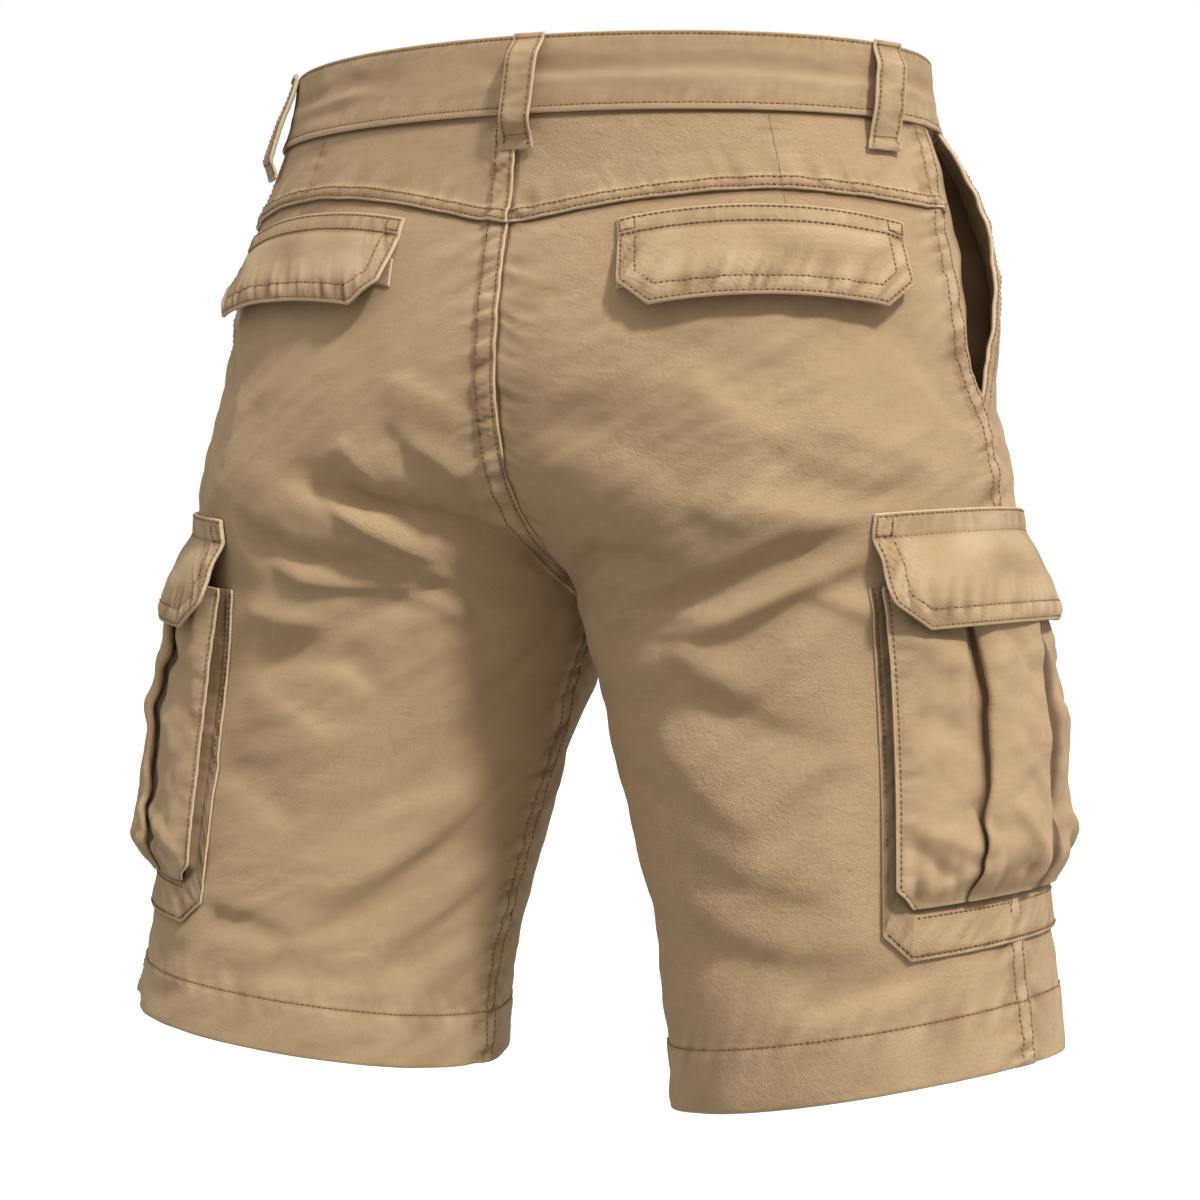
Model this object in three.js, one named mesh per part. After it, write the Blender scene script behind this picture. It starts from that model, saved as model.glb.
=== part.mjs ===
// Cargo shorts in cotton twill, filled out as when worn, with nobody in them.
// Every piece that is cut and sewn is its own closed wall of cloth.
// Millimetres. +Z is up, +Y is towards the wearer's back and +X towards the wearer's left.
// The origin is the middle of the ring that the waistband makes, where the waist holds the shorts.

import * as THREE from "three";

// Cloth and seams
const TWILL = 1.3; // one layer of cloth
const DOUBLED = 2.6; // two layers, as in a turned hem or a flap
const SEAM_GAP = 0.3; // between pieces that meet or lie on each other

// Waistband
const BAND_TOP = 19;
const BAND_BOTTOM = -19;
const BAND_THICK = 3;
const BAND_PROUD = 1.5; // outer face over the panels below it
const BAND_LAP = { left: 4, right: 13 }; // degrees that each end runs past the centre front
const FRONT_DIP = 13; // the waist is this much lower at the front

// Length
const HEM_LEVEL = -480;
const HEM_HEIGHT = 26;

// The body of one side, from the waist to the hem. Each row is a section at a level.
// side: half width at the side. inner: where the inseam is, 0 above the crotch. mid: how far back the side lies.
// Behind the side the section reaches back as a half oval of seat, and as a round thigh where seatSplit is 1.
// In front of the side it does the same with belly, and lap where flySplit is 1.
const BODY = [
  { level: 33, side: 168, inner: 0, mid: 8, seat: 100, thigh: 110, seatSplit: 0, belly: 107, lap: 105, flySplit: 0 },
  { level: -10, side: 174, inner: 0, mid: 13, seat: 100, thigh: 112, seatSplit: 0, belly: 113, lap: 105, flySplit: 0 },
  { level: -49, side: 186, inner: 0, mid: 17, seat: 103, thigh: 116, seatSplit: 0.02, belly: 121, lap: 105, flySplit: 0 },
  { level: -101, side: 199, inner: 0, mid: 19, seat: 117, thigh: 122, seatSplit: 0.03, belly: 125, lap: 105, flySplit: 0.01 },
  { level: -148, side: 206, inner: 0, mid: 19.5, seat: 131, thigh: 125, seatSplit: 0.09, belly: 128, lap: 106, flySplit: 0.03 },
  { level: -175, side: 211, inner: 0, mid: 19.5, seat: 136, thigh: 124, seatSplit: 0.16, belly: 132, lap: 106, flySplit: 0.07 },
  { level: -201, side: 216, inner: 0, mid: 20, seat: 143, thigh: 118, seatSplit: 0.29, belly: 135, lap: 105, flySplit: 0.16 },
  { level: -221, side: 218, inner: 0, mid: 20.5, seat: 146, thigh: 112, seatSplit: 0.47, belly: 138, lap: 104, flySplit: 0.33 },
  { level: -239, side: 219, inner: 0, mid: 20.5, seat: 146, thigh: 108, seatSplit: 0.7, belly: 138, lap: 103, flySplit: 0.6 },
  { level: -253, side: 219, inner: 0, mid: 20.5, seat: 146, thigh: 105, seatSplit: 0.91, belly: 136, lap: 102, flySplit: 0.88 },
  { level: -261, side: 219.5, inner: 0.5, mid: 21, seat: 146, thigh: 104, seatSplit: 1, belly: 136, lap: 101, flySplit: 1 },
  { level: -291, side: 220.5, inner: 9, mid: 21, seat: 146, thigh: 102, seatSplit: 1, belly: 136, lap: 99, flySplit: 1 },
  { level: -331, side: 225, inner: 21.5, mid: 24, seat: 146, thigh: 100, seatSplit: 1, belly: 136, lap: 97, flySplit: 1 },
  { level: -391, side: 233, inner: 41, mid: 28, seat: 146, thigh: 99, seatSplit: 1, belly: 136, lap: 96, flySplit: 1 },
  { level: -446, side: 241, inner: 53, mid: 32, seat: 146, thigh: 99, seatSplit: 1, belly: 136, lap: 95, flySplit: 1 },
  { level: -501, side: 249, inner: 57, mid: 35, seat: 146, thigh: 99, seatSplit: 1, belly: 136, lap: 95, flySplit: 1 },
];

// The legs stand apart, so their levels tilt.
const SPLAY = { leg: 0.12, hem: 0.17 }; // rise for each millimetre outwards
const HEM_DROP_BACK = 0.05; // fall for each millimetre backwards, at the hem
const LEG_TWIST = 3; // degrees that what lies on the legs is turned towards the wearer's left
const LEFT_RISE = 5; // the left yoke seam and back flap ride up this much away from the centre

// Where the side seam runs, in degrees of turn from the centre back
const SIDE_SEAM = [
  { level: 33, turn: 87 },
  { level: -24, turn: 84.5 },
  { level: -65, turn: 82 },
  { level: -131, turn: 82 },
  { level: -171, turn: 86 },
  { level: -218, turn: 86.5 },
  { level: -330, turn: 84.5 },
  { level: -501, turn: 82 },
];

// The seam under the yoke
const YOKE_SEAM = [
  { turn: 0, level: -70 },
  { turn: 21, level: -59 },
  { turn: 42, level: -51 },
  { turn: 62, level: -54 },
  { turn: 95, level: -60 },
];

// The largest folds. Each runs from one place to another, both given as a turn and a level.
// height: how far it stands out, or sinks in where it is negative. reach: its half width.
const FOLDS = {
  left: [
    { turn: 36, level: -196, toTurn: 0, toLevel: -236, height: -9, reach: 13 },
    { turn: 52, level: -214, toTurn: 18, toLevel: -242, height: -6, reach: 11 },
    { turn: 50, level: -238, toTurn: 12, toLevel: -250, height: 5, reach: 10 },
    { turn: 40, level: -256, toTurn: 8, toLevel: -286, height: -5, reach: 12 },
    { turn: 0, level: -296, toTurn: 36, toLevel: -362, height: -5, reach: 16 },
    { turn: 2, level: -380, toTurn: 40, toLevel: -440, height: -4, reach: 16 },
    { turn: 52, level: -150, toTurn: 8, toLevel: -178, height: -3, reach: 16 },
    { turn: 180, level: -222, toTurn: 136, toLevel: -192, height: -7, reach: 13 },
    { turn: 180, level: -244, toTurn: 130, toLevel: -244, height: -6, reach: 12 },
    { turn: 178, level: -262, toTurn: 138, toLevel: -296, height: -5, reach: 13 },
    { turn: 172, level: -330, toTurn: 128, toLevel: -376, height: -4, reach: 16 },
  ],
  right: [
    { turn: 6, level: -226, toTurn: 38, toLevel: -256, height: 5, reach: 10 },
    { turn: 4, level: -244, toTurn: 36, toLevel: -272, height: -7, reach: 12 },
    { turn: 28, level: -264, toTurn: 58, toLevel: -254, height: 4, reach: 10 },
    { turn: 14, level: -268, toTurn: 56, toLevel: -281, height: -5, reach: 12 },
    { turn: 14, level: -304, toTurn: 54, toLevel: -308, height: -4, reach: 14 },
    { turn: 6, level: -188, toTurn: 60, toLevel: -226, height: -4, reach: 17 },
    { turn: 20, level: -430, toTurn: 54, toLevel: -434, height: -4, reach: 15 },
    { turn: 180, level: -218, toTurn: 140, toLevel: -196, height: -6, reach: 13 },
    { turn: 180, level: -240, toTurn: 134, toLevel: -238, height: -6, reach: 12 },
    { turn: 176, level: -266, toTurn: 134, toLevel: -290, height: -5, reach: 13 },
    { turn: 174, level: -350, toTurn: 132, toLevel: -388, height: -4, reach: 16 },
  ],
};
const CLOTH_PER_DEGREE = 3; // millimetres, for the folds' widths

// The slanted mouth of the hand pocket
const MOUTH = { topTurn: 97, footLevel: -162, gape: 12, softness: 17 };
const FACING = { under: 13, footLevel: -178, sink: 2.4 };

// Back pocket flaps, and the welts behind them
const BACK_FLAP = { inset: 57, width: 138, top: -70, height: 47, slant: 8, corner: 14, stand: 8, arch: 3 };
const BACK_WELT = { drop: 20, height: 14, past: 4 };

// Cargo pockets. Across is measured forwards from their back edge, and down from their top edge.
const CARGO = { width: 160, top: -221, height: 205, corner: 13 };
const CARGO_BACK_EDGE = [
  { level: -221, turn: 59 },
  { level: -262, turn: 61 },
  { level: -331, turn: 60 },
  { level: -410, turn: 57 },
  { level: -430, turn: 56.5 },
];
const CARGO_MOUTH = 36; // down from the pocket's top edge, under the flap
const GUSSET = { side: 6, foot: 23, lift: 8, mouthLift: 5 };
const FACE = { mouthLift: 9, crown: 11, frontCrown: 14, edgeRise: 18 };
const PLEAT = { first: 52, second: 94, tuck: 9, pitch: 2 };
const CARGO_FLAP = [
  { down: 0, inset: -3, lift: 2.9 },
  { down: 13, inset: -3, lift: 4 },
  { down: 24, inset: 1, lift: 10 },
  { down: 36, inset: 4, lift: 15 },
  { down: 47, inset: 8, lift: 18 },
  { down: 57, inset: 21, lift: 20 },
];

// Belt loops
const LOOP = { width: 16, top: 19, foot: -38, thick: 2.2, gap: 9 };
const LOOPS = [
  { name: "loop_back", side: -1, topTurn: 2.3, footTurn: 0.8 },
  { name: "loop_side_left", side: 1, topTurn: 71, footTurn: 66 },
  { name: "loop_side_right", side: -1, topTurn: 72, footTurn: 66.5 },
  { name: "loop_front_left", side: 1, topTurn: 146, footTurn: 147 },
  { name: "loop_front_right", side: -1, topTurn: 146, footTurn: 147 },
];

// Waist button, with a rim, a sunk middle and four holes' place left to its finish
const BUTTON = { radius: 8.5, thick: 2.6, rim: 1.6, well: 0.9, turn: 178 };

const RADIAN = Math.PI / 180;
const mix = (a, b, t) => a + (b - a) * t;
const clamp = (t) => Math.min(1, Math.max(0, t));
const smooth = (t) => clamp(t) ** 2 * (3 - 2 * clamp(t));
const steps = (n) => Array.from({ length: n + 1 }, (_, i) => i / n);

// A smooth curve of one column of a table against another, for any value between its ends.
function curveOf(table, along, column) {
  const x = table.map((row) => row[along]);
  const y = table.map((row) => row[column]);
  const down = x[1] < x[0];
  const slope = y.map((_, i) => {
    const a = Math.max(0, i - 1);
    const b = Math.min(y.length - 1, i + 1);
    return (y[b] - y[a]) / (x[b] - x[a]);
  });
  return (at) => {
    let i = 0;
    while (i < x.length - 2 && (down ? at < x[i + 1] : at > x[i + 1])) i += 1;
    const span = x[i + 1] - x[i];
    const t = clamp((at - x[i]) / span);
    const t2 = t * t;
    const t3 = t2 * t;
    const ends = (2 * t3 - 3 * t2 + 1) * y[i] + (3 * t2 - 2 * t3) * y[i + 1];
    return ends + ((t3 - 2 * t2 + t) * slope[i] + (t3 - t2) * slope[i + 1]) * span;
  };
}

const columns = Object.keys(BODY[0]).slice(1);
const body = Object.fromEntries(columns.map((column) => [column, curveOf(BODY, "level", column)]));
const sideSeam = curveOf(SIDE_SEAM, "level", "turn");
const yokeCurve = curveOf(YOKE_SEAM, "turn", "level");
const rise = (side, turn) => (side > 0 ? LEFT_RISE * smooth(turn / 30) : 0);
const yokeSeam = (side, turn) => yokeCurve(turn) + rise(side, turn);
const cargoBackEdge = curveOf(CARGO_BACK_EDGE, "level", "turn");

// A point of the smooth body on the wearer's left. Turn runs from 0 at the centre back or the back of the inseam,
// over 90 at the side, to 180 at the centre front or the front of the inseam.
function form(turn, level) {
  const a = turn * RADIAN;
  const behind = turn <= 90;
  const split = clamp(behind ? body.seatSplit(level) : body.flySplit(level));
  const oval = behind ? body.seat(level) : body.belly(level);
  const round = behind ? body.thigh(level) : body.lap(level);
  const side = body.side(level);
  const inner = Math.max(0, body.inner(level));
  const out = (1 - split) * Math.sin(a) + split * (1 - Math.cos(2 * a)) * 0.5;
  const x = inner + (side - inner) * out;
  const y = body.mid(level) + (1 - split) * oval * Math.cos(a) + split * round * Math.sin(2 * a);
  const outward = x - (side + inner) / 2;
  const spread = outward > 0 ? smooth((-141 - level) / 110) : smooth((-266 - level) / 200);
  const low = smooth((-321 - level) / 175);
  const splay = mix(SPLAY.leg, SPLAY.hem, smooth((-400 - level) / 80));
  const dip = FRONT_DIP * smooth(turn / 180) * smooth((level + 141) / 170);
  const z = level + splay * spread * outward - HEM_DROP_BACK * low * (y - body.mid(level)) - dip;
  return new THREE.Vector3(x, y, z);
}

// How far a side's folds move the cloth out at a place.
function foldHeight(side, turn, level) {
  let sum = 0;
  for (const fold of side > 0 ? FOLDS.left : FOLDS.right) {
    const along = new THREE.Vector2((fold.toTurn - fold.turn) * CLOTH_PER_DEGREE, fold.toLevel - fold.level);
    const from = new THREE.Vector2((turn - fold.turn) * CLOTH_PER_DEGREE, level - fold.level);
    const length = along.length();
    const t = from.dot(along) / length ** 2;
    const away = from.cross(along) / length / fold.reach;
    sum += fold.height * Math.exp(-away * away) * smooth((t + 0.15) / 0.3) * smooth((1.1 - t) / 0.4);
  }
  return sum;
}

function normalOf(point, turn, level) {
  const t = Math.min(179.6, Math.max(0.4, turn));
  const along = point(t + 0.4, level).sub(point(t - 0.4, level));
  const down = point(t, level - 1.5).sub(point(t, level + 1.5));
  return along.cross(down).normalize();
}

// A point of a side's outer surface with its folds, before the right side is mirrored.
function surface(side, turn, level) {
  const height = foldHeight(side, turn, level);
  return form(turn, level).addScaledVector(normalOf(form, turn, level), height);
}

// The turn that lies a distance in millimetres further round at a level.
function turnBy(level, turn, distance) {
  const pieces = 12;
  let at = turn;
  for (let i = 0; i < pieces; i += 1) {
    const speed = form(at + 0.2, level).distanceTo(form(at - 0.2, level)) / 0.4;
    at += distance / pieces / Math.max(speed, 0.8);
  }
  return at;
}

// A closed wall from a grid of outer points and the grid of inner points behind them.
function wall(outer, inner) {
  const rows = outer.length;
  const width = outer[0].length;
  const points = [...outer.flat(), ...inner.flat()];
  const half = rows * width;
  const at = (r, c) => r * width + c;
  const index = [];
  const quad = (a, b, c, d) => index.push(a, b, c, a, c, d);
  for (let r = 0; r < rows - 1; r += 1) {
    for (let c = 0; c < width - 1; c += 1) {
      const [p, q, s, t] = [at(r, c), at(r + 1, c), at(r + 1, c + 1), at(r, c + 1)];
      quad(p, q, s, t);
      index.push(p + half, s + half, q + half, p + half, t + half, s + half);
    }
  }
  const rim = [];
  for (let c = 0; c < width - 1; c += 1) rim.push(at(0, c));
  for (let r = 0; r < rows - 1; r += 1) rim.push(at(r, width - 1));
  for (let c = width - 1; c > 0; c -= 1) rim.push(at(rows - 1, c));
  for (let r = rows - 1; r > 0; r -= 1) rim.push(at(r, 0));
  rim.forEach((p, i) => {
    const q = rim[(i + 1) % rim.length];
    quad(p, q, q + half, p + half);
  });
  let volume = 0;
  for (let i = 0; i < index.length; i += 3) {
    const [a, b, c] = [points[index[i]], points[index[i + 1]], points[index[i + 2]]];
    volume += a.dot(b.clone().cross(c));
  }
  if (volume < 0) {
    for (let i = 0; i < index.length; i += 3) [index[i + 1], index[i + 2]] = [index[i + 2], index[i + 1]];
  }
  const geometry = new THREE.BufferGeometry().setFromPoints(points);
  geometry.setIndex(index);
  geometry.computeVertexNormals();
  return geometry;
}

// A point above the surface of a side.
function raised(side, turn, level, height) {
  const normal = normalOf((t, l) => surface(side, t, l), turn, level);
  const point = surface(side, turn, level).addScaledVector(normal, height);
  point.x *= side;
  return point;
}

// Cloth laid over the surface. place(u, v) gives the turn, the level, the height of the outer face
// and the thickness.
function cloth(side, across, downward, place) {
  const outer = [];
  const inner = [];
  downward.forEach((v) => {
    const spots = across.map((u) => place(u, v));
    outer.push(spots.map((s) => raised(side, s.turn, s.level, s.height)));
    inner.push(spots.map((s) => raised(side, s.turn, s.level, s.height - s.thick)));
  });
  return wall(outer, inner);
}

// A turn moved off a seam by half the seam's gap.
const offSeam = (level, turn, way) => turnBy(level, turn, (way * SEAM_GAP) / 2);

// The mouth's line, as a turn at a level.
function mouthTurn(level) {
  const t = clamp((BAND_BOTTOM - level) / (BAND_BOTTOM - MOUTH.footLevel));
  return mix(MOUTH.topTurn, sideSeam(MOUTH.footLevel), t ** 1.3);
}

// How far the front stands off the hip at the mouth.
function gape(turn, level) {
  const t = clamp((BAND_BOTTOM - level) / (BAND_BOTTOM - MOUTH.footLevel));
  const away = (turn - mouthTurn(level)) / MOUTH.softness;
  return MOUTH.gape * Math.sin(Math.PI * t ** 0.9) * Math.exp(-away * away);
}

const UPPER_LEVELS = [BAND_BOTTOM - SEAM_GAP, -38, -58, -78, -98, -118, -136, -152, MOUTH.footLevel, FACING.footLevel];
const LOWER_LEVELS = [
  -192, -206, -218, -229, -239, -248, -256, -264, -276, -292, -310, -330, -352, -376, -400, -426,
  HEM_LEVEL + HEM_HEIGHT, HEM_LEVEL,
];
const BACK_LEVELS = [-86, -102, -118, -136, -154, -174, ...LOWER_LEVELS];
const FRONT_LEVELS = [...UPPER_LEVELS, ...LOWER_LEVELS];
const panelThickness = (level) => (level < HEM_LEVEL + HEM_HEIGHT - 1 ? DOUBLED : TWILL);

function backPanel(side) {
  const count = BACK_LEVELS.length;
  const place = (u, v) => {
    const row = Math.round(v * count);
    let level = row ? BACK_LEVELS[row - 1] : yokeSeam(side, 45);
    let turn = 0;
    for (let pass = 0; pass < 2; pass += 1) {
      turn = mix(offSeam(level, 0, 1), offSeam(level, sideSeam(level), -1), u);
      if (!row) level = yokeSeam(side, turn) - SEAM_GAP / 2;
    }
    return { turn, level, height: 0, thick: panelThickness(level) };
  };
  return cloth(side, steps(13), steps(count), place);
}

function frontPanel(side) {
  const place = (u, v) => {
    const level = FRONT_LEVELS[Math.round(v * (FRONT_LEVELS.length - 1))];
    const above = level > MOUTH.footLevel;
    const edge = above ? mouthTurn(level) : offSeam(level, sideSeam(level), 1);
    const turn = mix(edge, offSeam(level, 180, -1), u);
    return { turn, level, height: above ? gape(turn, level) : 0, thick: panelThickness(level) };
  };
  return cloth(side, steps(12), steps(FRONT_LEVELS.length - 1), place);
}

function yoke(side) {
  const top = BAND_BOTTOM - SEAM_GAP;
  const place = (u, v) => {
    let level = top;
    let turn = 0;
    for (let pass = 0; pass < 2; pass += 1) {
      turn = mix(offSeam(level, 0, 1), offSeam(level, sideSeam(level), -1), u);
      level = mix(top, yokeSeam(side, turn) + SEAM_GAP / 2, v);
    }
    return { turn, level, height: 0, thick: TWILL };
  };
  return cloth(side, steps(13), steps(3), place);
}

// The cloth that shows in the mouth of the hand pocket, sewn to the back at the side seam and lying under the front.
function hipFacing(side) {
  const levels = UPPER_LEVELS;
  const place = (u, v) => {
    const level = levels[Math.round(v * (levels.length - 1))];
    const seam = offSeam(level, sideSeam(level), 1);
    const open = Math.max(0, mouthTurn(level) - seam);
    const turn = seam + u * (open + FACING.under);
    const sunk = Math.max(smooth((turn - seam) / Math.max(1, open * 0.8)), smooth(1.6 - open / 3));
    return { turn, level, height: -FACING.sink * sunk, thick: TWILL };
  };
  return cloth(side, steps(7), steps(levels.length - 1), place);
}

// The whole ring, as one strip whose right end passes inside its left end at the centre front.
function waistband() {
  const outer = [];
  const inner = [];
  [BAND_TOP, BAND_TOP - 4, 0, BAND_BOTTOM + 5, BAND_BOTTOM].forEach((level) => {
    const spots = steps(72).map((u) => {
      const way = mix(-180 - BAND_LAP.right, 180 + BAND_LAP.left, u);
      const wrapped = way > 180 ? way - 360 : way < -180 ? way + 360 : way;
      const under = smooth((-way - 150) / 22);
      const height = BAND_PROUD - (BAND_THICK + SEAM_GAP) * under;
      return { side: wrapped < 0 ? -1 : 1, turn: Math.abs(wrapped), level, height };
    });
    outer.push(spots.map((s) => raised(s.side, s.turn, s.level, s.height)));
    inner.push(spots.map((s) => raised(s.side, s.turn, s.level, s.height - BAND_THICK)));
  });
  return wall(outer, inner);
}

function beltLoop({ side, topTurn, footTurn }) {
  const stand = BAND_PROUD + LOOP.gap + LOOP.thick;
  const place = (u, v) => {
    const level = mix(LOOP.top, LOOP.foot, v);
    const bow = smooth(v / 0.2) * smooth((1 - v) / 0.22);
    const seat = (level > BAND_BOTTOM - 2 ? BAND_PROUD : 0) + SEAM_GAP + LOOP.thick;
    const turn = turnBy(level, mix(topTurn, footTurn, v), (u - 0.5) * LOOP.width);
    return { turn: Math.abs(turn), over: turn < 0, level, height: mix(seat, stand, bow), thick: LOOP.thick };
  };
  const outer = [];
  const inner = [];
  steps(12).forEach((v) => {
    const spots = steps(2).map((u) => place(u, v));
    const lift = (depth) => spots.map((s) => raised(s.over ? -side : side, s.turn, s.level, s.height - depth));
    outer.push(lift(0));
    inner.push(lift(LOOP.thick));
  });
  return wall(outer, inner);
}

// How much lower a flap lies at a place along it than at its middle.
const flapSag = (side, u) => BACK_FLAP.arch * (2 * u - 1) ** 2 - (side > 0 ? LEFT_RISE : 0);

// Back pocket flap: doubled cloth, seated along its top and standing off below, with cut corners.
function backFlap(side) {
  const { inset, width, top, height, slant, corner, stand } = BACK_FLAP;
  const downs = [0, 9, 20, height - corner, height];
  const place = (u, v) => {
    const down = downs[Math.round(v * (downs.length - 1))];
    const level = top - down;
    const start = turnBy(level, 0, inset + (slant * down) / height);
    const cut = Math.max(0, down - (height - corner));
    const turn = turnBy(level, start, cut + u * (width - 2 * cut));
    const lift = SEAM_GAP + DOUBLED + stand * smooth((down - 6) / (height - 6));
    return { turn, level: level - flapSag(side, u), height: lift, thick: DOUBLED };
  };
  return cloth(side, steps(10), steps(downs.length - 1), place);
}
function backWelt(side) {
  const { inset, width, top } = BACK_FLAP;
  const place = (u, v) => {
    const level = top - BACK_WELT.drop - v * BACK_WELT.height - flapSag(side, u);
    const start = turnBy(level, 0, inset + BACK_WELT.past);
    return { turn: turnBy(level, start, u * (width - 12)), level, height: SEAM_GAP + TWILL, thick: TWILL };
  };
  return cloth(side, steps(10), [0, 1], place);
}

// A place on a cargo pocket: across from its back edge and down from its top, as a turn and a level.
function onCargo(side, across, down) {
  const level = CARGO.top - down;
  return { turn: turnBy(level, cargoBackEdge(level) - LEG_TWIST * side, across), level };
}

const CARGO_ACROSS = [0.06, 0.17, 0.28, 0.39, 0.5, 0.61, 0.72, 0.83, 0.94];
const CARGO_DOWN = [0, 0.14, 0.28, 0.42, 0.56, 0.7, 0.84, 1];

// How far the gusset's edge stands off the leg, less at the mouth than below.
const gussetLift = (down) => mix(GUSSET.mouthLift, GUSSET.lift, smooth((down - CARGO_MOUTH) / 40));

// The gusset: sewn to the leg along its outline and rising to the face's edge at both sides and the foot.
function cargoGusset(side) {
  const { width, height, corner } = CARGO;
  const faceFoot = height - GUSSET.foot;
  const path = [];
  CARGO_DOWN.forEach((t) => {
    path.push({ out: [0, mix(CARGO_MOUTH, height - corner, t)], in: [GUSSET.side, mix(CARGO_MOUTH, faceFoot - 5, t)] });
  });
  CARGO_ACROSS.forEach((t) => {
    const x = mix(corner, width - corner, (t - 0.06) / 0.88);
    path.push({ out: [x, height], in: [mix(GUSSET.side, width - GUSSET.side, t), faceFoot] });
  });
  [...path.slice(0, CARGO_DOWN.length)].reverse().forEach((p) => {
    path.push({ out: [width - p.out[0], p.out[1]], in: [width - p.in[0], p.in[1]] });
  });
  const place = (u, v) => {
    const p = path[Math.round(u * (path.length - 1))];
    const spot = onCargo(side, mix(p.out[0], p.in[0], v), mix(p.out[1], p.in[1], v));
    const lift = mix(SEAM_GAP + TWILL, gussetLift(mix(p.out[1], p.in[1], v)), smooth(v) ** 1.2);
    return { ...spot, height: lift, thick: TWILL };
  };
  return cloth(side, steps(path.length - 1), [0, 0.35, 0.75, 1], place);
}

// How high the middle of the face's cloth stands off the leg.
function faceLift(across, down) {
  const { width, height } = CARGO;
  const edge = gussetLift(down) + SEAM_GAP + TWILL / 2;
  const foot = height - GUSSET.foot - down;
  const side = Math.min(across, width - across) - GUSSET.side;
  const crown = mix(FACE.crown, FACE.frontCrown, smooth((across - PLEAT.second) / 25));
  const blouse = smooth((foot + 4) / FACE.edgeRise) * smooth((side + 4) / FACE.edgeRise);
  return edge + (crown - GUSSET.lift) * blouse + (FACE.mouthLift - FACE.crown) * smooth((60 - down) / 30) * blouse;
}

// The face, folded into a box pleat whose middle strip stands out.
function cargoFace(side) {
  const { first, second, tuck, pitch } = PLEAT;
  const overhang = GUSSET.side - 1.5;
  const section = [
    [overhang, 0], [GUSSET.side + 5, 0], [22, 0], [38, 0], [first - 4, 0],
    [first + tuck, 0], [first + tuck + pitch / 2, 0.5], [first + tuck, 1], [first, 1],
    [first - pitch / 2, 1.5], [first, 2], [first + 13, 2], [second - 13, 2], [second, 2],
    [second + pitch / 2, 1.5], [second, 1], [second - tuck, 1], [second - tuck - pitch / 2, 0.5],
    [second - tuck, 0], [second + 4, 0], [second + 18, 0], [second + 34, 0],
    [CARGO.width - GUSSET.side - 5, 0], [CARGO.width - overhang, 0],
  ];
  const downs = CARGO_DOWN.map((t) => mix(CARGO_MOUTH, CARGO.height - GUSSET.foot - 5, t));
  downs.splice(downs.length - 1, 1, downs[downs.length - 1] - 6, CARGO.height - GUSSET.foot);
  const outer = [];
  const inner = [];
  downs.forEach((down) => {
    const flat = section.map(([across, ply]) => new THREE.Vector2(across, faceLift(across, down) + ply * pitch));
    const sides = flat.map((point, i) => {
      const before = flat[Math.max(0, i - 1)];
      const after = flat[Math.min(flat.length - 1, i + 1)];
      const along = after.clone().sub(before).normalize();
      return new THREE.Vector2(-along.y, along.x).multiplyScalar(TWILL / 2);
    });
    const lay = (way) =>
      flat.map((point, i) => {
        const p = point.clone().addScaledVector(sides[i], way);
        const spot = onCargo(side, p.x, down);
        return raised(side, spot.turn, spot.level, p.y);
      });
    outer.push(lay(1));
    inner.push(lay(-1));
  });
  return wall(outer, inner);
}

function cargoFlap(side) {
  const place = (u, v) => {
    const row = CARGO_FLAP[Math.round(v * (CARGO_FLAP.length - 1))];
    const across = mix(row.inset, CARGO.width - row.inset, u);
    return { ...onCargo(side, across, row.down), height: row.lift, thick: DOUBLED };
  };
  return cloth(side, steps(12), steps(CARGO_FLAP.length - 1), place);
}

// The button lies on the band's left end. Its axis is the band's own direction there.
function waistButton() {
  const { radius, thick, rim, well } = BUTTON;
  const profile = [
    [0, 0], [radius - 1, 0], [radius, 0.8], [radius, thick - 0.7], [radius - 0.6, thick],
    [radius - rim, thick], [radius - rim - 0.8, thick - well], [0, thick - well],
  ];
  const disc = new THREE.LatheGeometry(profile.map(([x, y]) => new THREE.Vector2(x, y)), 24);
  const level = 0;
  const normal = normalOf((t, l) => surface(1, t, l), BUTTON.turn, level);
  const centre = raised(1, BUTTON.turn, level, BAND_PROUD + SEAM_GAP + 0.2);
  const turned = new THREE.Quaternion().setFromUnitVectors(new THREE.Vector3(0, 1, 0), normal);
  disc.applyQuaternion(turned).translate(centre.x, centre.y, centre.z);
  return disc;
}

const shorts = new THREE.Group();

function add(name, geometry, material) {
  const mesh = new THREE.Mesh(geometry, material);
  mesh.name = name;
  shorts.add(mesh);
}

const twill = () => new THREE.MeshStandardMaterial({ color: 0xa88c68, roughness: 0.92, metalness: 0 });
const horn = () => new THREE.MeshStandardMaterial({ color: 0x5d4630, roughness: 0.45, metalness: 0 });

const SIDED_PIECES = {
  back: backPanel,
  front: frontPanel,
  yoke,
  hip_facing: hipFacing,
  back_flap: backFlap,
  back_welt: backWelt,
  cargo_gusset: cargoGusset,
  cargo_pocket: cargoFace,
  cargo_flap: cargoFlap,
};

add("waistband", waistband(), twill());
for (const [name, make] of Object.entries(SIDED_PIECES)) {
  add(`${name}_left`, make(1), twill());
  add(`${name}_right`, make(-1), twill());
}
for (const loop of LOOPS) add(loop.name, beltLoop(loop), twill());
add("waist_button", waistButton(), horn());

export default shorts;
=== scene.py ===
# Cargo shorts in washed cotton twill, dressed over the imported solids.
# Cloth is worked out in millimetres on the same body as the solids, and made into meshes in metres.
# Turn runs from 0 at the centre back over 90 at the side to 180 at the centre front. Level is the height.
import math

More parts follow.
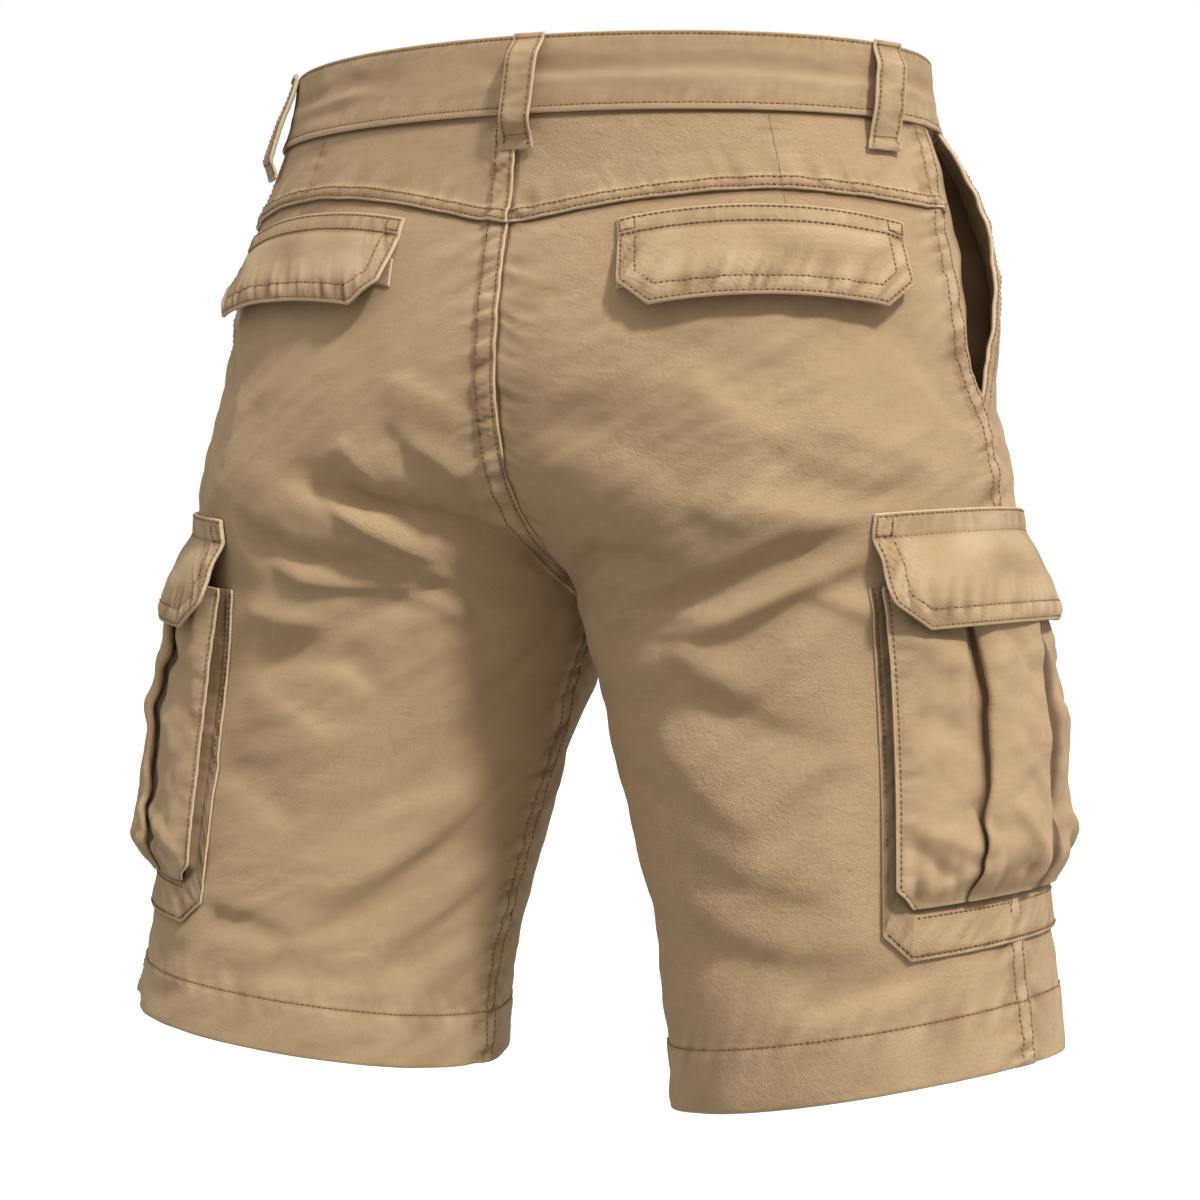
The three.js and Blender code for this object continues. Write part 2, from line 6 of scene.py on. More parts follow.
import bpy
import numpy as np
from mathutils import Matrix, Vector


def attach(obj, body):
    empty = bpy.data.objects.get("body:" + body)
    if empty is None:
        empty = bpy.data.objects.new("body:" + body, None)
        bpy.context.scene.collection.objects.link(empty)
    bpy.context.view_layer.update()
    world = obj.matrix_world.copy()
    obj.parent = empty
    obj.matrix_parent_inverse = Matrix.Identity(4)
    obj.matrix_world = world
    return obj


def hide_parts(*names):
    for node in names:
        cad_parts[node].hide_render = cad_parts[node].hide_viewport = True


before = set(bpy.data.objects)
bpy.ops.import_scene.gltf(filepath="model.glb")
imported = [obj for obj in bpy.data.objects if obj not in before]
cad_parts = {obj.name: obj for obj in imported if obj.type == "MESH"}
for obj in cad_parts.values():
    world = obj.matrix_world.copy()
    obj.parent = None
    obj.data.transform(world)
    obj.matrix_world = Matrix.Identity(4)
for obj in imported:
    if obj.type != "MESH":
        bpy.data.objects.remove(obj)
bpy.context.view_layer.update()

MM = 0.001
CAMERA_TURN = math.radians(24.5)
CAMERA_AWAY = 1.75
CAMERA_HEIGHT = -0.231
TO_CAMERA = Vector((-math.sin(CAMERA_TURN), math.cos(CAMERA_TURN), 0))
TO_RIGHT = Vector((-math.cos(CAMERA_TURN), -math.sin(CAMERA_TURN), 0))


# Camera, at the height of the middle of the shorts, behind the wearer's right hip
def add_camera():
    data = bpy.data.cameras.new("camera")
    data.sensor_width = 36
    data.lens = 102
    data.shift_x = -14 / 1200
    data.shift_y = -50 / 1200
    camera = bpy.data.objects.new("camera", data)
    bpy.context.scene.collection.objects.link(camera)
    camera.location = TO_CAMERA * CAMERA_AWAY + Vector((0, 0, CAMERA_HEIGHT))
    camera.rotation_euler = (-TO_CAMERA).to_track_quat("-Z", "Y").to_euler()
    bpy.context.scene.camera = camera


add_camera()

# Cloth and seams
TWILL = 1.3
DOUBLED = 2.6
LAP = 1.2
FELL = 13
FELL_RISE = 2.0
FELL_THICK = 1.9
EDGE_ROW = 2.2
INNER_ROW = 10.2

BAND_TOP = 19
BAND_BOTTOM = -19
BAND_THICK = 3
BAND_PROUD = 1.5
HEM_LEVEL = -480
HEM_HEIGHT = 26
HEM_TOP = HEM_LEVEL + HEM_HEIGHT

# How much of a pucker is real height, and how dark and pale its paint may get: the dark is painted shade, the
# pale is wear and partly painted highlight
PUCKER_RELIEF = 0.85
DARKEST = -2.4
PALEST = 1
THINNEST = 0.06

# The body of one side: level, side, inner, mid, seat, thigh, seat split, belly, lap, fly split
BODY = np.array([
    (33, 168, 0, 8, 100, 110, 0, 107, 105, 0),
    (-10, 174, 0, 13, 100, 112, 0, 113, 105, 0),
    (-49, 186, 0, 17, 103, 116, 0.02, 121, 105, 0),
    (-101, 199, 0, 19, 117, 122, 0.03, 125, 105, 0.01),
    (-148, 206, 0, 19.5, 131, 125, 0.09, 128, 106, 0.03),
    (-175, 211, 0, 19.5, 136, 124, 0.16, 132, 106, 0.07),
    (-201, 216, 0, 20, 143, 118, 0.29, 135, 105, 0.16),
    (-221, 218, 0, 20.5, 146, 112, 0.47, 138, 104, 0.33),
    (-239, 219, 0, 20.5, 146, 108, 0.7, 138, 103, 0.6),
    (-253, 219, 0, 20.5, 146, 105, 0.91, 136, 102, 0.88),
    (-261, 219.5, 0.5, 21, 146, 104, 1, 136, 101, 1),
    (-291, 220.5, 9, 21, 146, 102, 1, 136, 99, 1),
    (-331, 225, 21.5, 24, 146, 100, 1, 136, 97, 1),
    (-391, 233, 41, 28, 146, 99, 1, 136, 96, 1),
    (-446, 241, 53, 32, 146, 99, 1, 136, 95, 1),
    (-501, 249, 57, 35, 146, 99, 1, 136, 95, 1),
])
SIDE_SEAM = np.array(
    [(33, 87), (-24, 84.5), (-65, 82), (-131, 82), (-171, 86), (-218, 86.5), (-330, 84.5), (-501, 82)]
)
YOKE_SEAM = np.array([(0, -73), (12, -67), (24, -62), (42, -58), (62, -61), (95, -68)])
CARGO_BACK_EDGE = np.array([(-221, 59), (-262, 61), (-331, 60), (-410, 57), (-430, 56.5)])

# Folds of the cloth on each side: turn and level where a fold starts, where it ends,
# its height (negative sinks in), its half width, and how far its middle bows aside.
FOLDS_LEFT = [
    (36, -196, 0, -236, -8, 12, 0), (30, -202, 2, -234, -3.5, 6, 0), (31, -207, 20, -235, 3.2, 6, -2),
    (50, -224, 27, -240, -5.5, 9, -4), (46, -242, 20, -241, 4, 7, -7),
    (23, -247, 41, -273, -4.2, 8, -4), (31, -254, 23, -267, 2.6, 6, 3), (54, -266, 41, -269, 2.6, 7, 0),
    (52, -294, 32, -303, -4, 9, 15), (52, -304, 38, -328, 2.6, 10, 0),
    (12, -358, 37, -424, -3.6, 11, 1), (15, -348, 38, -406, 2.6, 11, 5),
    (9, -396, 23, -440, -2.6, 9, 0), (53, -417, 37, -424, -3.4, 9, 0), (3, -320, 16, -372, 1.5, 3.5, 0),
    (26, -178, 21, -206, 2.4, 7, 0), (14, -180, 7, -200, 2.2, 7, 2), (17, -150, 4, -174, 2.4, 9, 3),
    (29, -190, 23, -210, -2.2, 7, 0), (19, -172, 8, -209, -2.6, 9, -2), (52, -152, 60, -214, 2, 9, 7),
    (0, -296, 36, -362, -2.6, 16, 0), (44, -100, 20, -134, -1.8, 15, 4),
    (70, -110, 58, -160, -2, 13, 5), (56, -344, 40, -366, -2.4, 11, 3), (30, -440, 50, -448, -2, 8, 0),
    (8, -268, 20, -300, -2.2, 8, 3), (180, -222, 136, -192, -7, 12, 0),
    (180, -244, 130, -244, -6, 11, 0), (178, -262, 138, -296, -5, 12, 0),
    (172, -330, 128, -376, -4, 15, 0), (176, -206, 148, -180, -3, 8, 3),
    (174, -254, 142, -266, 3, 7, 3), (170, -290, 148, -330, 2.6, 10, 4),
    (120, -190, 140, -150, -2.4, 11, 3), (150, -400, 118, -428, -3, 12, 4),
    (168, -420, 140, -446, -2.4, 9, 0), (130, -110, 156, -140, -1.8, 14, 4),
    (124, -262, 112, -320, -2.4, 11, 4),
]
FOLDS_RIGHT = [
    (13, -236, 36, -242, -5, 8, -3), (20, -243, 33, -252, 2.8, 6, -2), (33, -264, 61, -230, -7, 10, -4),
    (34, -271, 61, -246, 3.2, 6, 5), (41, -212, 59, -227, 3.4, 10, 0), (33, -206, 44, -223, 2.5, 8, 0),
    (44, -278, 65, -247, -5, 8, 0), (57, -256, 66, -273, 2.6, 6, 0), (22, -275, 44, -270, -3.4, 8, -3),
    (38, -278, 47, -305, 2.6, 9, 1), (43, -190, 69, -213, -3, 11, 6), (50, -176, 73, -205, 2.6, 12, -4),
    (28, -403, 58, -425, -4, 12, 8), (46, -442, 68, -430, -3, 8, 0), (31, -375, 55, -402, -2.6, 11, 2),
    (32, -313, 47, -363, 2.4, 12, 7), (41, -295, 58, -328, -2.6, 11, 6),
    (9, -170, 38, -217, -3, 15, -10), (21, -124, 50, -155, -2, 15, 5),
    (60, -124, 80, -178, -2.4, 12, -6), (14, -304, 54, -308, -2.2, 13, 0),
    (16, -330, 34, -352, -2, 10, 3), (12, -392, 30, -424, -2.2, 11, -3),
    (58, -340, 44, -372, -1.8, 8, 2), (30, -150, 44, -182, 1.8, 10, 3), (16, -256, 24, -266, -2, 6, 0),
    (180, -218, 140, -196, -6, 12, 0), (180, -240, 134, -238, -6, 11, 0),
    (176, -266, 134, -290, -5, 12, 0), (174, -350, 132, -388, -4, 15, 0),
    (178, -204, 150, -176, -3, 8, 3), (174, -252, 140, -262, 3, 7, -3),
    (170, -296, 146, -336, 2.6, 10, 4), (118, -186, 138, -148, -2.4, 11, 3),
    (152, -404, 120, -430, -3, 12, 4), (166, -424, 140, -448, -2.4, 9, 0),
    (128, -104, 154, -136, -1.8, 14, 4), (124, -266, 112, -326, -2.4, 11, 4),
]
CLOTH_PER_DEGREE = 3


def smooth(t):
    t = np.clip(t, 0, 1)
    return t * t * (3 - 2 * t)


def mix(a, b, t):
    return a + (b - a) * t


def bell(distance, reach):
    return np.exp(-((distance / reach) ** 2))


def patch(at, start, stop, ramp):
    return smooth((at - start) / ramp) * smooth((stop - at) / ramp)


# Smooth noise from -1 to 1 over a plane, the same every run
def noise(x, y, seed=0):
    x, y = np.broadcast_arrays(np.asarray(x, float), np.asarray(y, float))
    left, low = np.floor(x).astype(np.int64), np.floor(y).astype(np.int64)
    right_way, up_way = x - left, y - low

    def slope(i, j, dx, dy):
        mixed = (i * 374761393 + j * 668265263 + seed * 1442695041) & 0x7FFFFFFF
        mixed = ((mixed ^ (mixed >> 13)) * 1274126177) & 0x7FFFFFFF
        way = ((mixed >> 7) & 0xFFFF) / 65536 * 2 * math.pi
        return np.cos(way) * dx + np.sin(way) * dy

    def between(j, dy):
        return mix(slope(left, j, right_way, dy), slope(left + 1, j, right_way - 1, dy), smooth(right_way))

    return 1.5 * mix(between(low, up_way), between(low + 1, up_way - 1), smooth(up_way))


# A smooth curve through a table's points, read from a fine table
def curve_of(places, values, step=0.25):
    x, y = np.array(places, float), np.array(values, float)
    if x[0] > x[-1]:
        x, y = x[::-1], y[::-1]
    before = np.maximum(np.arange(len(x)) - 1, 0)
    after = np.minimum(np.arange(len(x)) + 1, len(x) - 1)
    slope = (y[after] - y[before]) / (x[after] - x[before])
    fine = np.arange(x[0], x[-1] + step, step)
    i = np.clip(np.searchsorted(x, fine, side="right") - 1, 0, len(x) - 2)
    span = x[i + 1] - x[i]
    t = np.clip((fine - x[i]) / span, 0, 1)
    ends = (2 * t**3 - 3 * t**2 + 1) * y[i] + (3 * t**2 - 2 * t**3) * y[i + 1]
    curved = ends + ((t**3 - 2 * t**2 + t) * slope[i] + (t**3 - t**2) * slope[i + 1]) * span
    return lambda at: np.interp(at, fine, curved)


side_at, inner_at, mid_at, seat_at, thigh_at, seat_split, belly_at, lap_at, fly_split = (
    curve_of(BODY[:, 0], BODY[:, i]) for i in range(1, 10)
)
side_seam = curve_of(SIDE_SEAM[:, 0], SIDE_SEAM[:, 1])
yoke_curve = curve_of(YOKE_SEAM[:, 0], YOKE_SEAM[:, 1])
cargo_back_edge = curve_of(CARGO_BACK_EDGE[:, 0], CARGO_BACK_EDGE[:, 1])


def yoke_seam(side, turn):
    return yoke_curve(turn) + (5 * smooth(turn / 30) if side > 0 else 0)


# A point of the smooth body on the wearer's left, before folds
def form(turn, level):
    a = np.radians(turn)
    behind = turn <= 90
    split = np.clip(np.where(behind, seat_split(level), fly_split(level)), 0, 1)
    oval = np.where(behind, seat_at(level), belly_at(level))
    round_leg = np.where(behind, thigh_at(level), lap_at(level))
    side = side_at(level)
    inner = np.maximum(0, inner_at(level))
    out = (1 - split) * np.sin(a) + split * (1 - np.cos(2 * a)) * 0.5
    x = inner + (side - inner) * out
    away = (1 - split) * oval * np.cos(a) + split * round_leg * np.sin(2 * a)
    outward = x - (side + inner) / 2
    spread = np.where(outward > 0, smooth((-141 - level) / 110), smooth((-266 - level) / 200))
    low = smooth((-321 - level) / 175)
    splay = mix(0.12, 0.17, smooth((-400 - level) / 80))
    dip = 13 * smooth(turn / 180) * smooth((level + 141) / 170)
    z = level + splay * spread * outward - 0.05 * low * away - dip
    return np.stack([x, mid_at(level) + away, z], axis=-1)


# The sum of soft troughs and ridges at places of the cloth
def folds_at(folds, x, y, x_scale=1.0):
    total = np.zeros(np.broadcast(x, y).shape)
    for i, (x0, y0, x1, y1, height, reach, bow) in enumerate(folds):
        way_x, way_y = (x1 - x0) * x_scale, y1 - y0
        length = math.hypot(way_x, way_y)
        from_x, from_y = x - x0 * x_scale, y - y0
        t = (from_x * way_x + from_y * way_y) / length**2
        aside = (from_x * way_y - from_y * way_x) / length - bow * 4 * t * (1 - t)
        steep = 0.7 if i % 2 else 1.25
        reaches = reach * np.where(aside > 0, steep, 1.95 - steep)
        total += height * bell(aside, reaches) * smooth((t + 0.15) / 0.3) * smooth((1.1 - t) / 0.4)
    return total


# How far the listed folds move a place out
def fold_height(side, turn, level):
    folds = FOLDS_LEFT if side > 0 else FOLDS_RIGHT
    return 1.05 * folds_at(folds, turn * CLOTH_PER_DEGREE, level, CLOTH_PER_DEGREE)


# The soft unevenness of washed cloth, less under the pockets and flaps
def unevenness(side, turn, level):
    x, y = turn * CLOTH_PER_DEGREE, level
    cargo = patch(turn, 54, 134, 5) * patch(level, -434, -214, 8)
    flap = patch(turn, 20, 76, 5) * smooth((level + 118) / 10) * smooth((-60 - level) / 6)
    body = smooth((-24 - level) / 30) * (1 - 0.9 * np.maximum(cargo, flap))
    slant = x * 0.6 - y if side < 0 else x * 0.6 + y
    busy = smooth(0.5 + noise(x / 50, y / 50, 29 + side))
    total = 1.2 * noise(x / 44, slant / 30, 11 + side) + 0.95 * noise(x / 23, slant / 11, 23 + side)
    return body * (total + 0.36 * busy * noise(x / 11, slant / 6.5, 27 + side))


# The hems hang a little off the even cut: the left one is drawn up, the right one drops
def hem_shift(side, turn, level):
    if side > 0:
        return (2.5 + 6 * bell(turn - 38, 30)) * smooth((-380 - level) / 70)
    return -(4 + 4 * smooth((turn - 60) / 40)) * smooth((-452 - level) / 20)


def normal_of(place, turn, level):
    t = np.clip(turn, 0.4, 179.6)
    along = place(t + 0.4, level) - place(t - 0.4, level)
    down = place(t, level - 1.5) - place(t, level + 1.5)
    normal = np.cross(along, down)
    return normal / np.linalg.norm(normal, axis=-1, keepdims=True)


def surface(side, turn, level):
    point = form(turn, level) + normal_of(form, turn, level) * fold_height(side, turn, level)[..., None]
    point[..., 2] += hem_shift(side, turn, level)
    return point


# A point above a side's folded surface, with the direction that the cloth faces there.
# A stiff piece stands off the smooth body, so the panel's small folds don't show in it.
def raised(side, turn, level, height, stiff=False):
    turn, level, height = np.broadcast_arrays(turn * 1.0, level * 1.0, height * 1.0)
    if stiff:
        normal = normal_of(form, turn, level)
    else:
        normal = normal_of(lambda t, l: surface(side, t, l), turn, level)
        height = height + unevenness(side, turn, level)
    point = surface(side, turn, level) + normal * height[..., None]
    flip = np.array([side, 1, 1])
    return point * flip, normal * flip


# Lengths round the body at each level, so that widths can be given in millimetres
LEVEL_STEP = 3.0
TURN_STEP = 0.5
ARC_LEVELS = np.arange(-540.0, 60.0, LEVEL_STEP)
ARC_TURNS = np.arange(-24.0, 204.1, TURN_STEP)
ring = form(*np.broadcast_arrays(ARC_TURNS[None, :], ARC_LEVELS[:, None]))
ARC = np.concatenate(
    [np.zeros((len(ARC_LEVELS), 1)), np.cumsum(np.linalg.norm(np.diff(ring, axis=1), axis=2), axis=1)], axis=1
)
ARC -= ARC[:, [int(24 / TURN_STEP)]]


def level_rows(level):
    f = np.clip((level - ARC_LEVELS[0]) / LEVEL_STEP, 0, len(ARC_LEVELS) - 1.001)
    return f.astype(int), f - f.astype(int)


# Millimetres round the body from the centre back to a turn
def arc(level, turn):
    level, turn = np.broadcast_arrays(level * 1.0, turn * 1.0)
    i, w = level_rows(level)
    f = np.clip((turn - ARC_TURNS[0]) / TURN_STEP, 0, len(ARC_TURNS) - 1.001)
    j = f.astype(int)
    v = f - j
    lower = mix(ARC[i, j], ARC[i, j + 1], v)
    upper = mix(ARC[i + 1, j], ARC[i + 1, j + 1], v)
    return mix(lower, upper, w)


def turn_at(level, distance):
    level, distance = np.broadcast_arrays(level * 1.0, distance * 1.0)
    i, w = level_rows(level)
    out = np.zeros(level.shape)
    for row in np.unique(i):
        here = i == row
        lower = np.interp(distance[here], ARC[row], ARC_TURNS)
        upper = np.interp(distance[here], ARC[row + 1], ARC_TURNS)
        out[here] = mix(lower, upper, w[here])
    return out


def turn_by(level, turn, distance):
    return turn_at(level, arc(level, turn) + distance)


# Short uneven ripples across a sewn strip, which die out beside it. They are real height, and through crest
# their ridges are also painted pale, partly as painted highlight, and their hollows painted dark as painted
# shade
def pucker(along, away, seed, pitch=6.0, strip=6.2, strength=1.0):
    lean = along + 0.4 * away + 3 * noise(along / 30, away / 30, seed + 5)
    short = noise(lean / (0.62 * pitch), away / 24 + seed, seed)
    wide = noise(along / 15, away / 50, seed + 7)
    on_strip = bell(away - strip, 4.6)
    beside = bell(away - strip - 8, 9)
    return strength * (1.9 * short * on_strip + 0.9 * short * beside + 0.9 * wide * bell(away - 4, 20))


# Where a folded strip of a width lies along an edge
def strip_along(away, width=FELL):
    return smooth((width - away) / 2.4)


# Painted shadow: the dark line painted in the angle beneath an edge that laps over, where shade falls
def painted_shadow_under(away, deep=2.4, reach=1.1):
    return deep * bell(away, reach)


# The groove that a row of stitches pulls into the cloth
def groove(away, depth=0.45):
    return -depth * bell(away, 0.95)


def fell_grooves(away):
    return groove(away - EDGE_ROW) + groove(away - INNER_ROW)


# How much of its thickness a rolled edge has, by its distance from the edge
def rolled(edge, radius):
    t = 1 - np.clip(edge / radius, 0, 1)
    return np.sqrt(np.maximum(0, 1 - t * t))


def spread_between(start, stop, gaps_start, gaps_stop, pitch):
    middle_start, middle_stop = start + gaps_start[-1], stop - gaps_stop[-1]
    count = max(2, int(round(abs(middle_stop - middle_start) / pitch)))
    middle = np.linspace(middle_start, middle_stop, count + 1)
    first, last = start + np.array(gaps_start[:-1]), (stop - np.array(gaps_stop[:-1]))[::-1]
    return np.concatenate([first, middle, last])


EDGE_GAPS = [0, 0.25, 0.6, 1.0, 1.5, 2.2, 3.0, 4.2, 5.6, 7.2, 8.6, 9.5, 10.2, 11.0, 12.0, 13.2, 15]
ROLL_GAPS = [0, 0.25, 0.6, 1.0, 1.5, 2.2, 3.0, 4.4, 6]


def half_thickness(thick, edge):
    return np.maximum(thick / 2 * rolled(edge, thick / 2), THINNEST)


# Columns of a grid between close ones at both edges
def fill_between(near, far, count):
    middle = mix(near[:, -1:], far[:, :1], (np.arange(1, count) / count)[None, :])
    return np.concatenate([near, middle, far], axis=1)


# A closed wall of cloth from a grid of outer points and the grid behind it
def wall(name, outer, inner, uv, edge, crest):
    rows, cols = outer.shape[:2]
    half = rows * cols
    points = np.concatenate([outer.reshape(-1, 3), inner.reshape(-1, 3)]) * MM
    index = np.arange(half).reshape(rows, cols)
    a, b, c, d = index[:-1, :-1], index[1:, :-1], index[1:, 1:], index[:-1, 1:]
    front = np.stack([a, b, c, d], axis=-1).reshape(-1, 4)
    back = front[:, ::-1] + half
    rim = np.concatenate([index[0, :-1], index[:-1, -1], index[-1, :0:-1], index[:0:-1, 0]])
    after = np.roll(rim, -1)
    side = np.stack([rim, after, after + half, rim + half], axis=-1)
    faces = np.concatenate([front, back, side])
    p, q, r, s = (points[faces[:, i]] for i in range(4))
    volume = np.einsum("ij,ij->", p, np.cross(q, r)) + np.einsum("ij,ij->", p, np.cross(r, s))
    if volume < 0:
        faces = faces[:, ::-1]
    mesh = bpy.data.meshes.new(name)
    mesh.from_pydata(points.tolist(), [], faces.tolist())
    mesh.polygons.foreach_set("use_smooth", [True] * len(faces))
    corner = np.zeros(len(mesh.loops), int)
    mesh.loops.foreach_get("vertex_index", corner)
    flat_uv = np.concatenate([uv.reshape(-1, 2)] * 2) * MM
    mesh.uv_layers.new(name="cloth").data.foreach_set("uv", flat_uv[corner].ravel())
    for label, values in (("edge", edge), ("crest", np.clip(crest, DARKEST, PALEST))):
        layer = mesh.attributes.new(label, "FLOAT", "POINT")
        layer.data.foreach_set("value", np.concatenate([np.broadcast_to(values, (rows, cols)).ravel()] * 2))
    mesh.update()
    piece = bpy.data.objects.new(name, mesh)
    bpy.context.scene.collection.objects.link(piece)
    return piece


# Cloth laid on a side from its places: turn, level, height of the outer face, thickness, edge, crest, uv
def lay(name, side, spot, stiff=False):
    turn, level, height, thick, edge, crest, uv = spot
    shape = np.broadcast(turn, level, height).shape
    half = half_thickness(thick, edge)
    middle = height - thick / 2
    outer, normal = raised(side, turn, level, np.broadcast_to(middle + half, shape), stiff)
    inner = outer - normal * np.broadcast_to(2 * half, shape)[..., None]
    return wall(name, outer, inner, uv, edge, crest)


sewn = {}


# A row of stitches along a path, kept with its group until all are made
def sew(group, points, normals, pitch=2.8, width=1.05, length=0.8):
    steps = np.linalg.norm(np.diff(points, axis=0), axis=1)
    run = np.concatenate([[0], np.cumsum(steps)])
    count = int(run[-1] / pitch)
    if count < 1:
        return
    start = np.arange(count) * pitch + 0.3 * pitch
    stations = start[:, None] + np.array([0, 0.5, 1]) * pitch * length
    stations = np.minimum(stations, run[-1])

    def along(values):
        return np.stack([np.interp(stations, run, values[:, i]) for i in range(3)], axis=-1)

    middle, up = along(points), along(normals)
    up /= np.linalg.norm(up, axis=-1, keepdims=True)
    forward = middle[:, 2:] - middle[:, :1]
    forward /= np.maximum(np.linalg.norm(forward, axis=-1, keepdims=True), 1e-6)
    aside = np.cross(up, np.broadcast_to(forward, up.shape))
    size = np.array([0.62, 1.0, 0.62])[None, :, None]
    lift = np.array([-0.16, 0.2, -0.16])[None, :, None]
    core = middle + up * lift
    ring_points = [
        core + aside * size * width / 2,
        core + up * size * width * 0.42,
        core - aside * size * width / 2,
        core - up * size * width * 0.42,
    ]
    sewn.setdefault(group, []).append(np.stack(ring_points, axis=2))


# All rows of one group as a single mesh of small rounded stitches
def stitch_mesh(name, group):
    rings = np.concatenate(sewn[group])
    count = len(rings)
    points = rings.reshape(-1, 3) * MM
    unit = []
    for station in range(2):
        for corner in range(4):
            a, b = station * 4 + corner, station * 4 + (corner + 1) % 4
            unit.append((a, b, b + 4, a + 4))
    unit += [(3, 2, 1, 0), (8, 9, 10, 11)]
    faces = (np.array(unit)[None] + (np.arange(count) * 12)[:, None, None]).reshape(-1, 4)
    first = points[:12]
    middle = first.mean(axis=0)
    p, q, r = (first[list(unit[0])[i]] for i in range(3))
    if np.dot(np.cross(q - p, r - p), p - middle) < 0:
        faces = faces[:, ::-1]
    mesh = bpy.data.meshes.new(name)
    mesh.from_pydata(points.tolist(), [], faces.tolist())
    mesh.polygons.foreach_set("use_smooth", [True] * len(faces))
    piece = bpy.data.objects.new(name, mesh)
    bpy.context.scene.collection.objects.link(piece)
    return piece


def sew_on(group, side, spot, pitch=2.8, width=1.05, stiff=False):
    turn, level, height = spot[0], spot[1], spot[2]
    height = np.broadcast_to(height, np.broadcast(turn, level).shape) + 0.05
    points, normals = raised(side, turn, level, height, stiff)
    sew(group, points, normals, pitch, width)


# The seam of the dart that runs down from the waistband, drawn as close, thin stitches
DART_TURN = 43
DART_LINE = {"pitch": 1.0, "width": 0.5}


def dart_turn(level):
    return DART_TURN + 0.03 * (-19 - level)


def dart_valley(turn, level):
    return bell(arc(level, turn) - arc(level, dart_turn(level)), 3.2)


# Back panels
def lap_of_back(side, level):
    return 1.0 + 0 * level if side > 0 else smooth((-250 - level) / 20)


def back_edges(side, turn, level):
    lap = lap_of_back(side, level)
    centre = arc(level, turn) + mix(-0.25, LAP, lap)
    seam = arc(level, side_seam(level)) + LAP - arc(level, turn)
    return lap, centre, seam


def hem_step(level):
    return smooth((HEM_TOP + 0.6 - level) / 1.6)


def hem_ripples(turn, level, seed):
    x = turn * CLOTH_PER_DEGREE
    below = HEM_TOP - level
    short = noise((x + 0.5 * below) / 7.5, below / 30, seed)
    wide = 0.7 * noise(x / 24, below / 40, seed + 3) * bell(below - 8, 18)
    return short * (0.85 * bell(below - 4, 6) + 0.6 * bell(below + 5, 7)) + wide


def back_spot(side, turn, level):
    lap, centre, seam = back_edges(side, turn, level)
    strip_centre = strip_along(centre) * lap
    strip_seam = strip_along(seam)
    strip = np.maximum(strip_centre, strip_seam)
    shown = smooth((yoke_seam(side, turn) - level + 1.4) / 1.4)
    crest = pucker(level, centre, 31 + side) * mix(0.4, 1, lap)
    crest = crest + pucker(level, seam, 35 + side, strength=0.9 if side < 0 else 0.3)
    crest = crest + hem_ripples(turn, level, 39 + side)
    rows = fell_grooves(centre) * lap + fell_grooves(seam) + groove(level - HEM_TOP + 1, 0.6)
    height = FELL_RISE * strip + 0.9 * hem_step(level) + PUCKER_RELIEF * crest + rows
    height = height * shown - 0.2 * (1 - shown)
    # Painted shade: under darkens the cloth beneath the yoke's lapped edge and beside the centre-back lap,
    # and the stitch grooves (rows) are painted darker
    under = painted_shadow_under(yoke_seam(side, turn) - LAP - level - 0.5)
    under = under + painted_shadow_under(centre - 1.7, reach=1.0) * (1 - lap)
    height = height - 0.5 * dart_valley(turn, level) * smooth((level + 74) / 4)
    crest = crest + 2 * rows - under
    thick = np.maximum(mix(TWILL, FELL_THICK, strip), mix(TWILL, DOUBLED, hem_step(level)))
    edge = np.minimum(np.minimum(centre, seam), level - HEM_LEVEL)
    uv = np.stack([arc(level, turn) - arc(level, 45 + 0 * level), level], axis=-1)
    return turn, level, height, thick, edge, crest, uv


def panel_levels(top, gaps_top):
    upper = spread_between(top, HEM_TOP + 2, [-g for g in gaps_top], [0, -0.1], 1.9)
    near_row = [HEM_TOP + g for g in (0.6, -0.2, -1, -1.8, -3)]
    band = np.linspace(HEM_TOP - 5, HEM_LEVEL + 3.4, 9)
    foot = [HEM_LEVEL + g for g in (2.2, 1.4, 0.8, 0.35, 0)]
    return np.concatenate([upper[:-1], near_row, band, foot])


def back_panel(side, name):
    base = panel_levels(-58.0, [0, 1, 2, 2.8, 3.6, 4.6])
    gaps = np.array(EDGE_GAPS)[None, :]
    count = 92
    level = np.repeat(base[:, None], 2 * len(EDGE_GAPS) + count - 1, axis=1)
    turn = np.full(level.shape, 45.0)
    for _ in range(3):
        level = base[:, None] + (yoke_seam(side, turn) + 60) * smooth((base[:, None] + 132) / 70)
        lap = lap_of_back(side, level[:, :1])
        first = mix(0.25, -LAP, lap)
        last = arc(level[:, -1:], side_seam(level[:, -1:])) + LAP
        near = first + gaps
        far = last - gaps[:, ::-1]
        turn = turn_at(level, fill_between(near, far, count))
    return lay(name, side, back_spot(side, turn, level))


# Front panels
MOUTH_TOP = 97
MOUTH_FOOT = -162
MOUTH_GAPE = 12


def mouth_turn(level):
    t = np.clip((BAND_BOTTOM - level) / (BAND_BOTTOM - MOUTH_FOOT), 0, 1)
    return mix(MOUTH_TOP, side_seam(MOUTH_FOOT), t**1.3)


def gape(turn, level):
    t = np.clip((BAND_BOTTOM - level) / (BAND_BOTTOM - MOUTH_FOOT), 0, 1)
    return MOUTH_GAPE * np.sin(math.pi * t**0.9) * bell(turn - mouth_turn(level), 17)


def front_edge(level):
    above = level > MOUTH_FOOT
    return arc(level, np.where(above, mouth_turn(level), side_seam(level))) + np.where(above, 0, 0.25)


def lap_of_front(side, level):
    return smooth((level + 258) / 20) if side > 0 else 0 * level


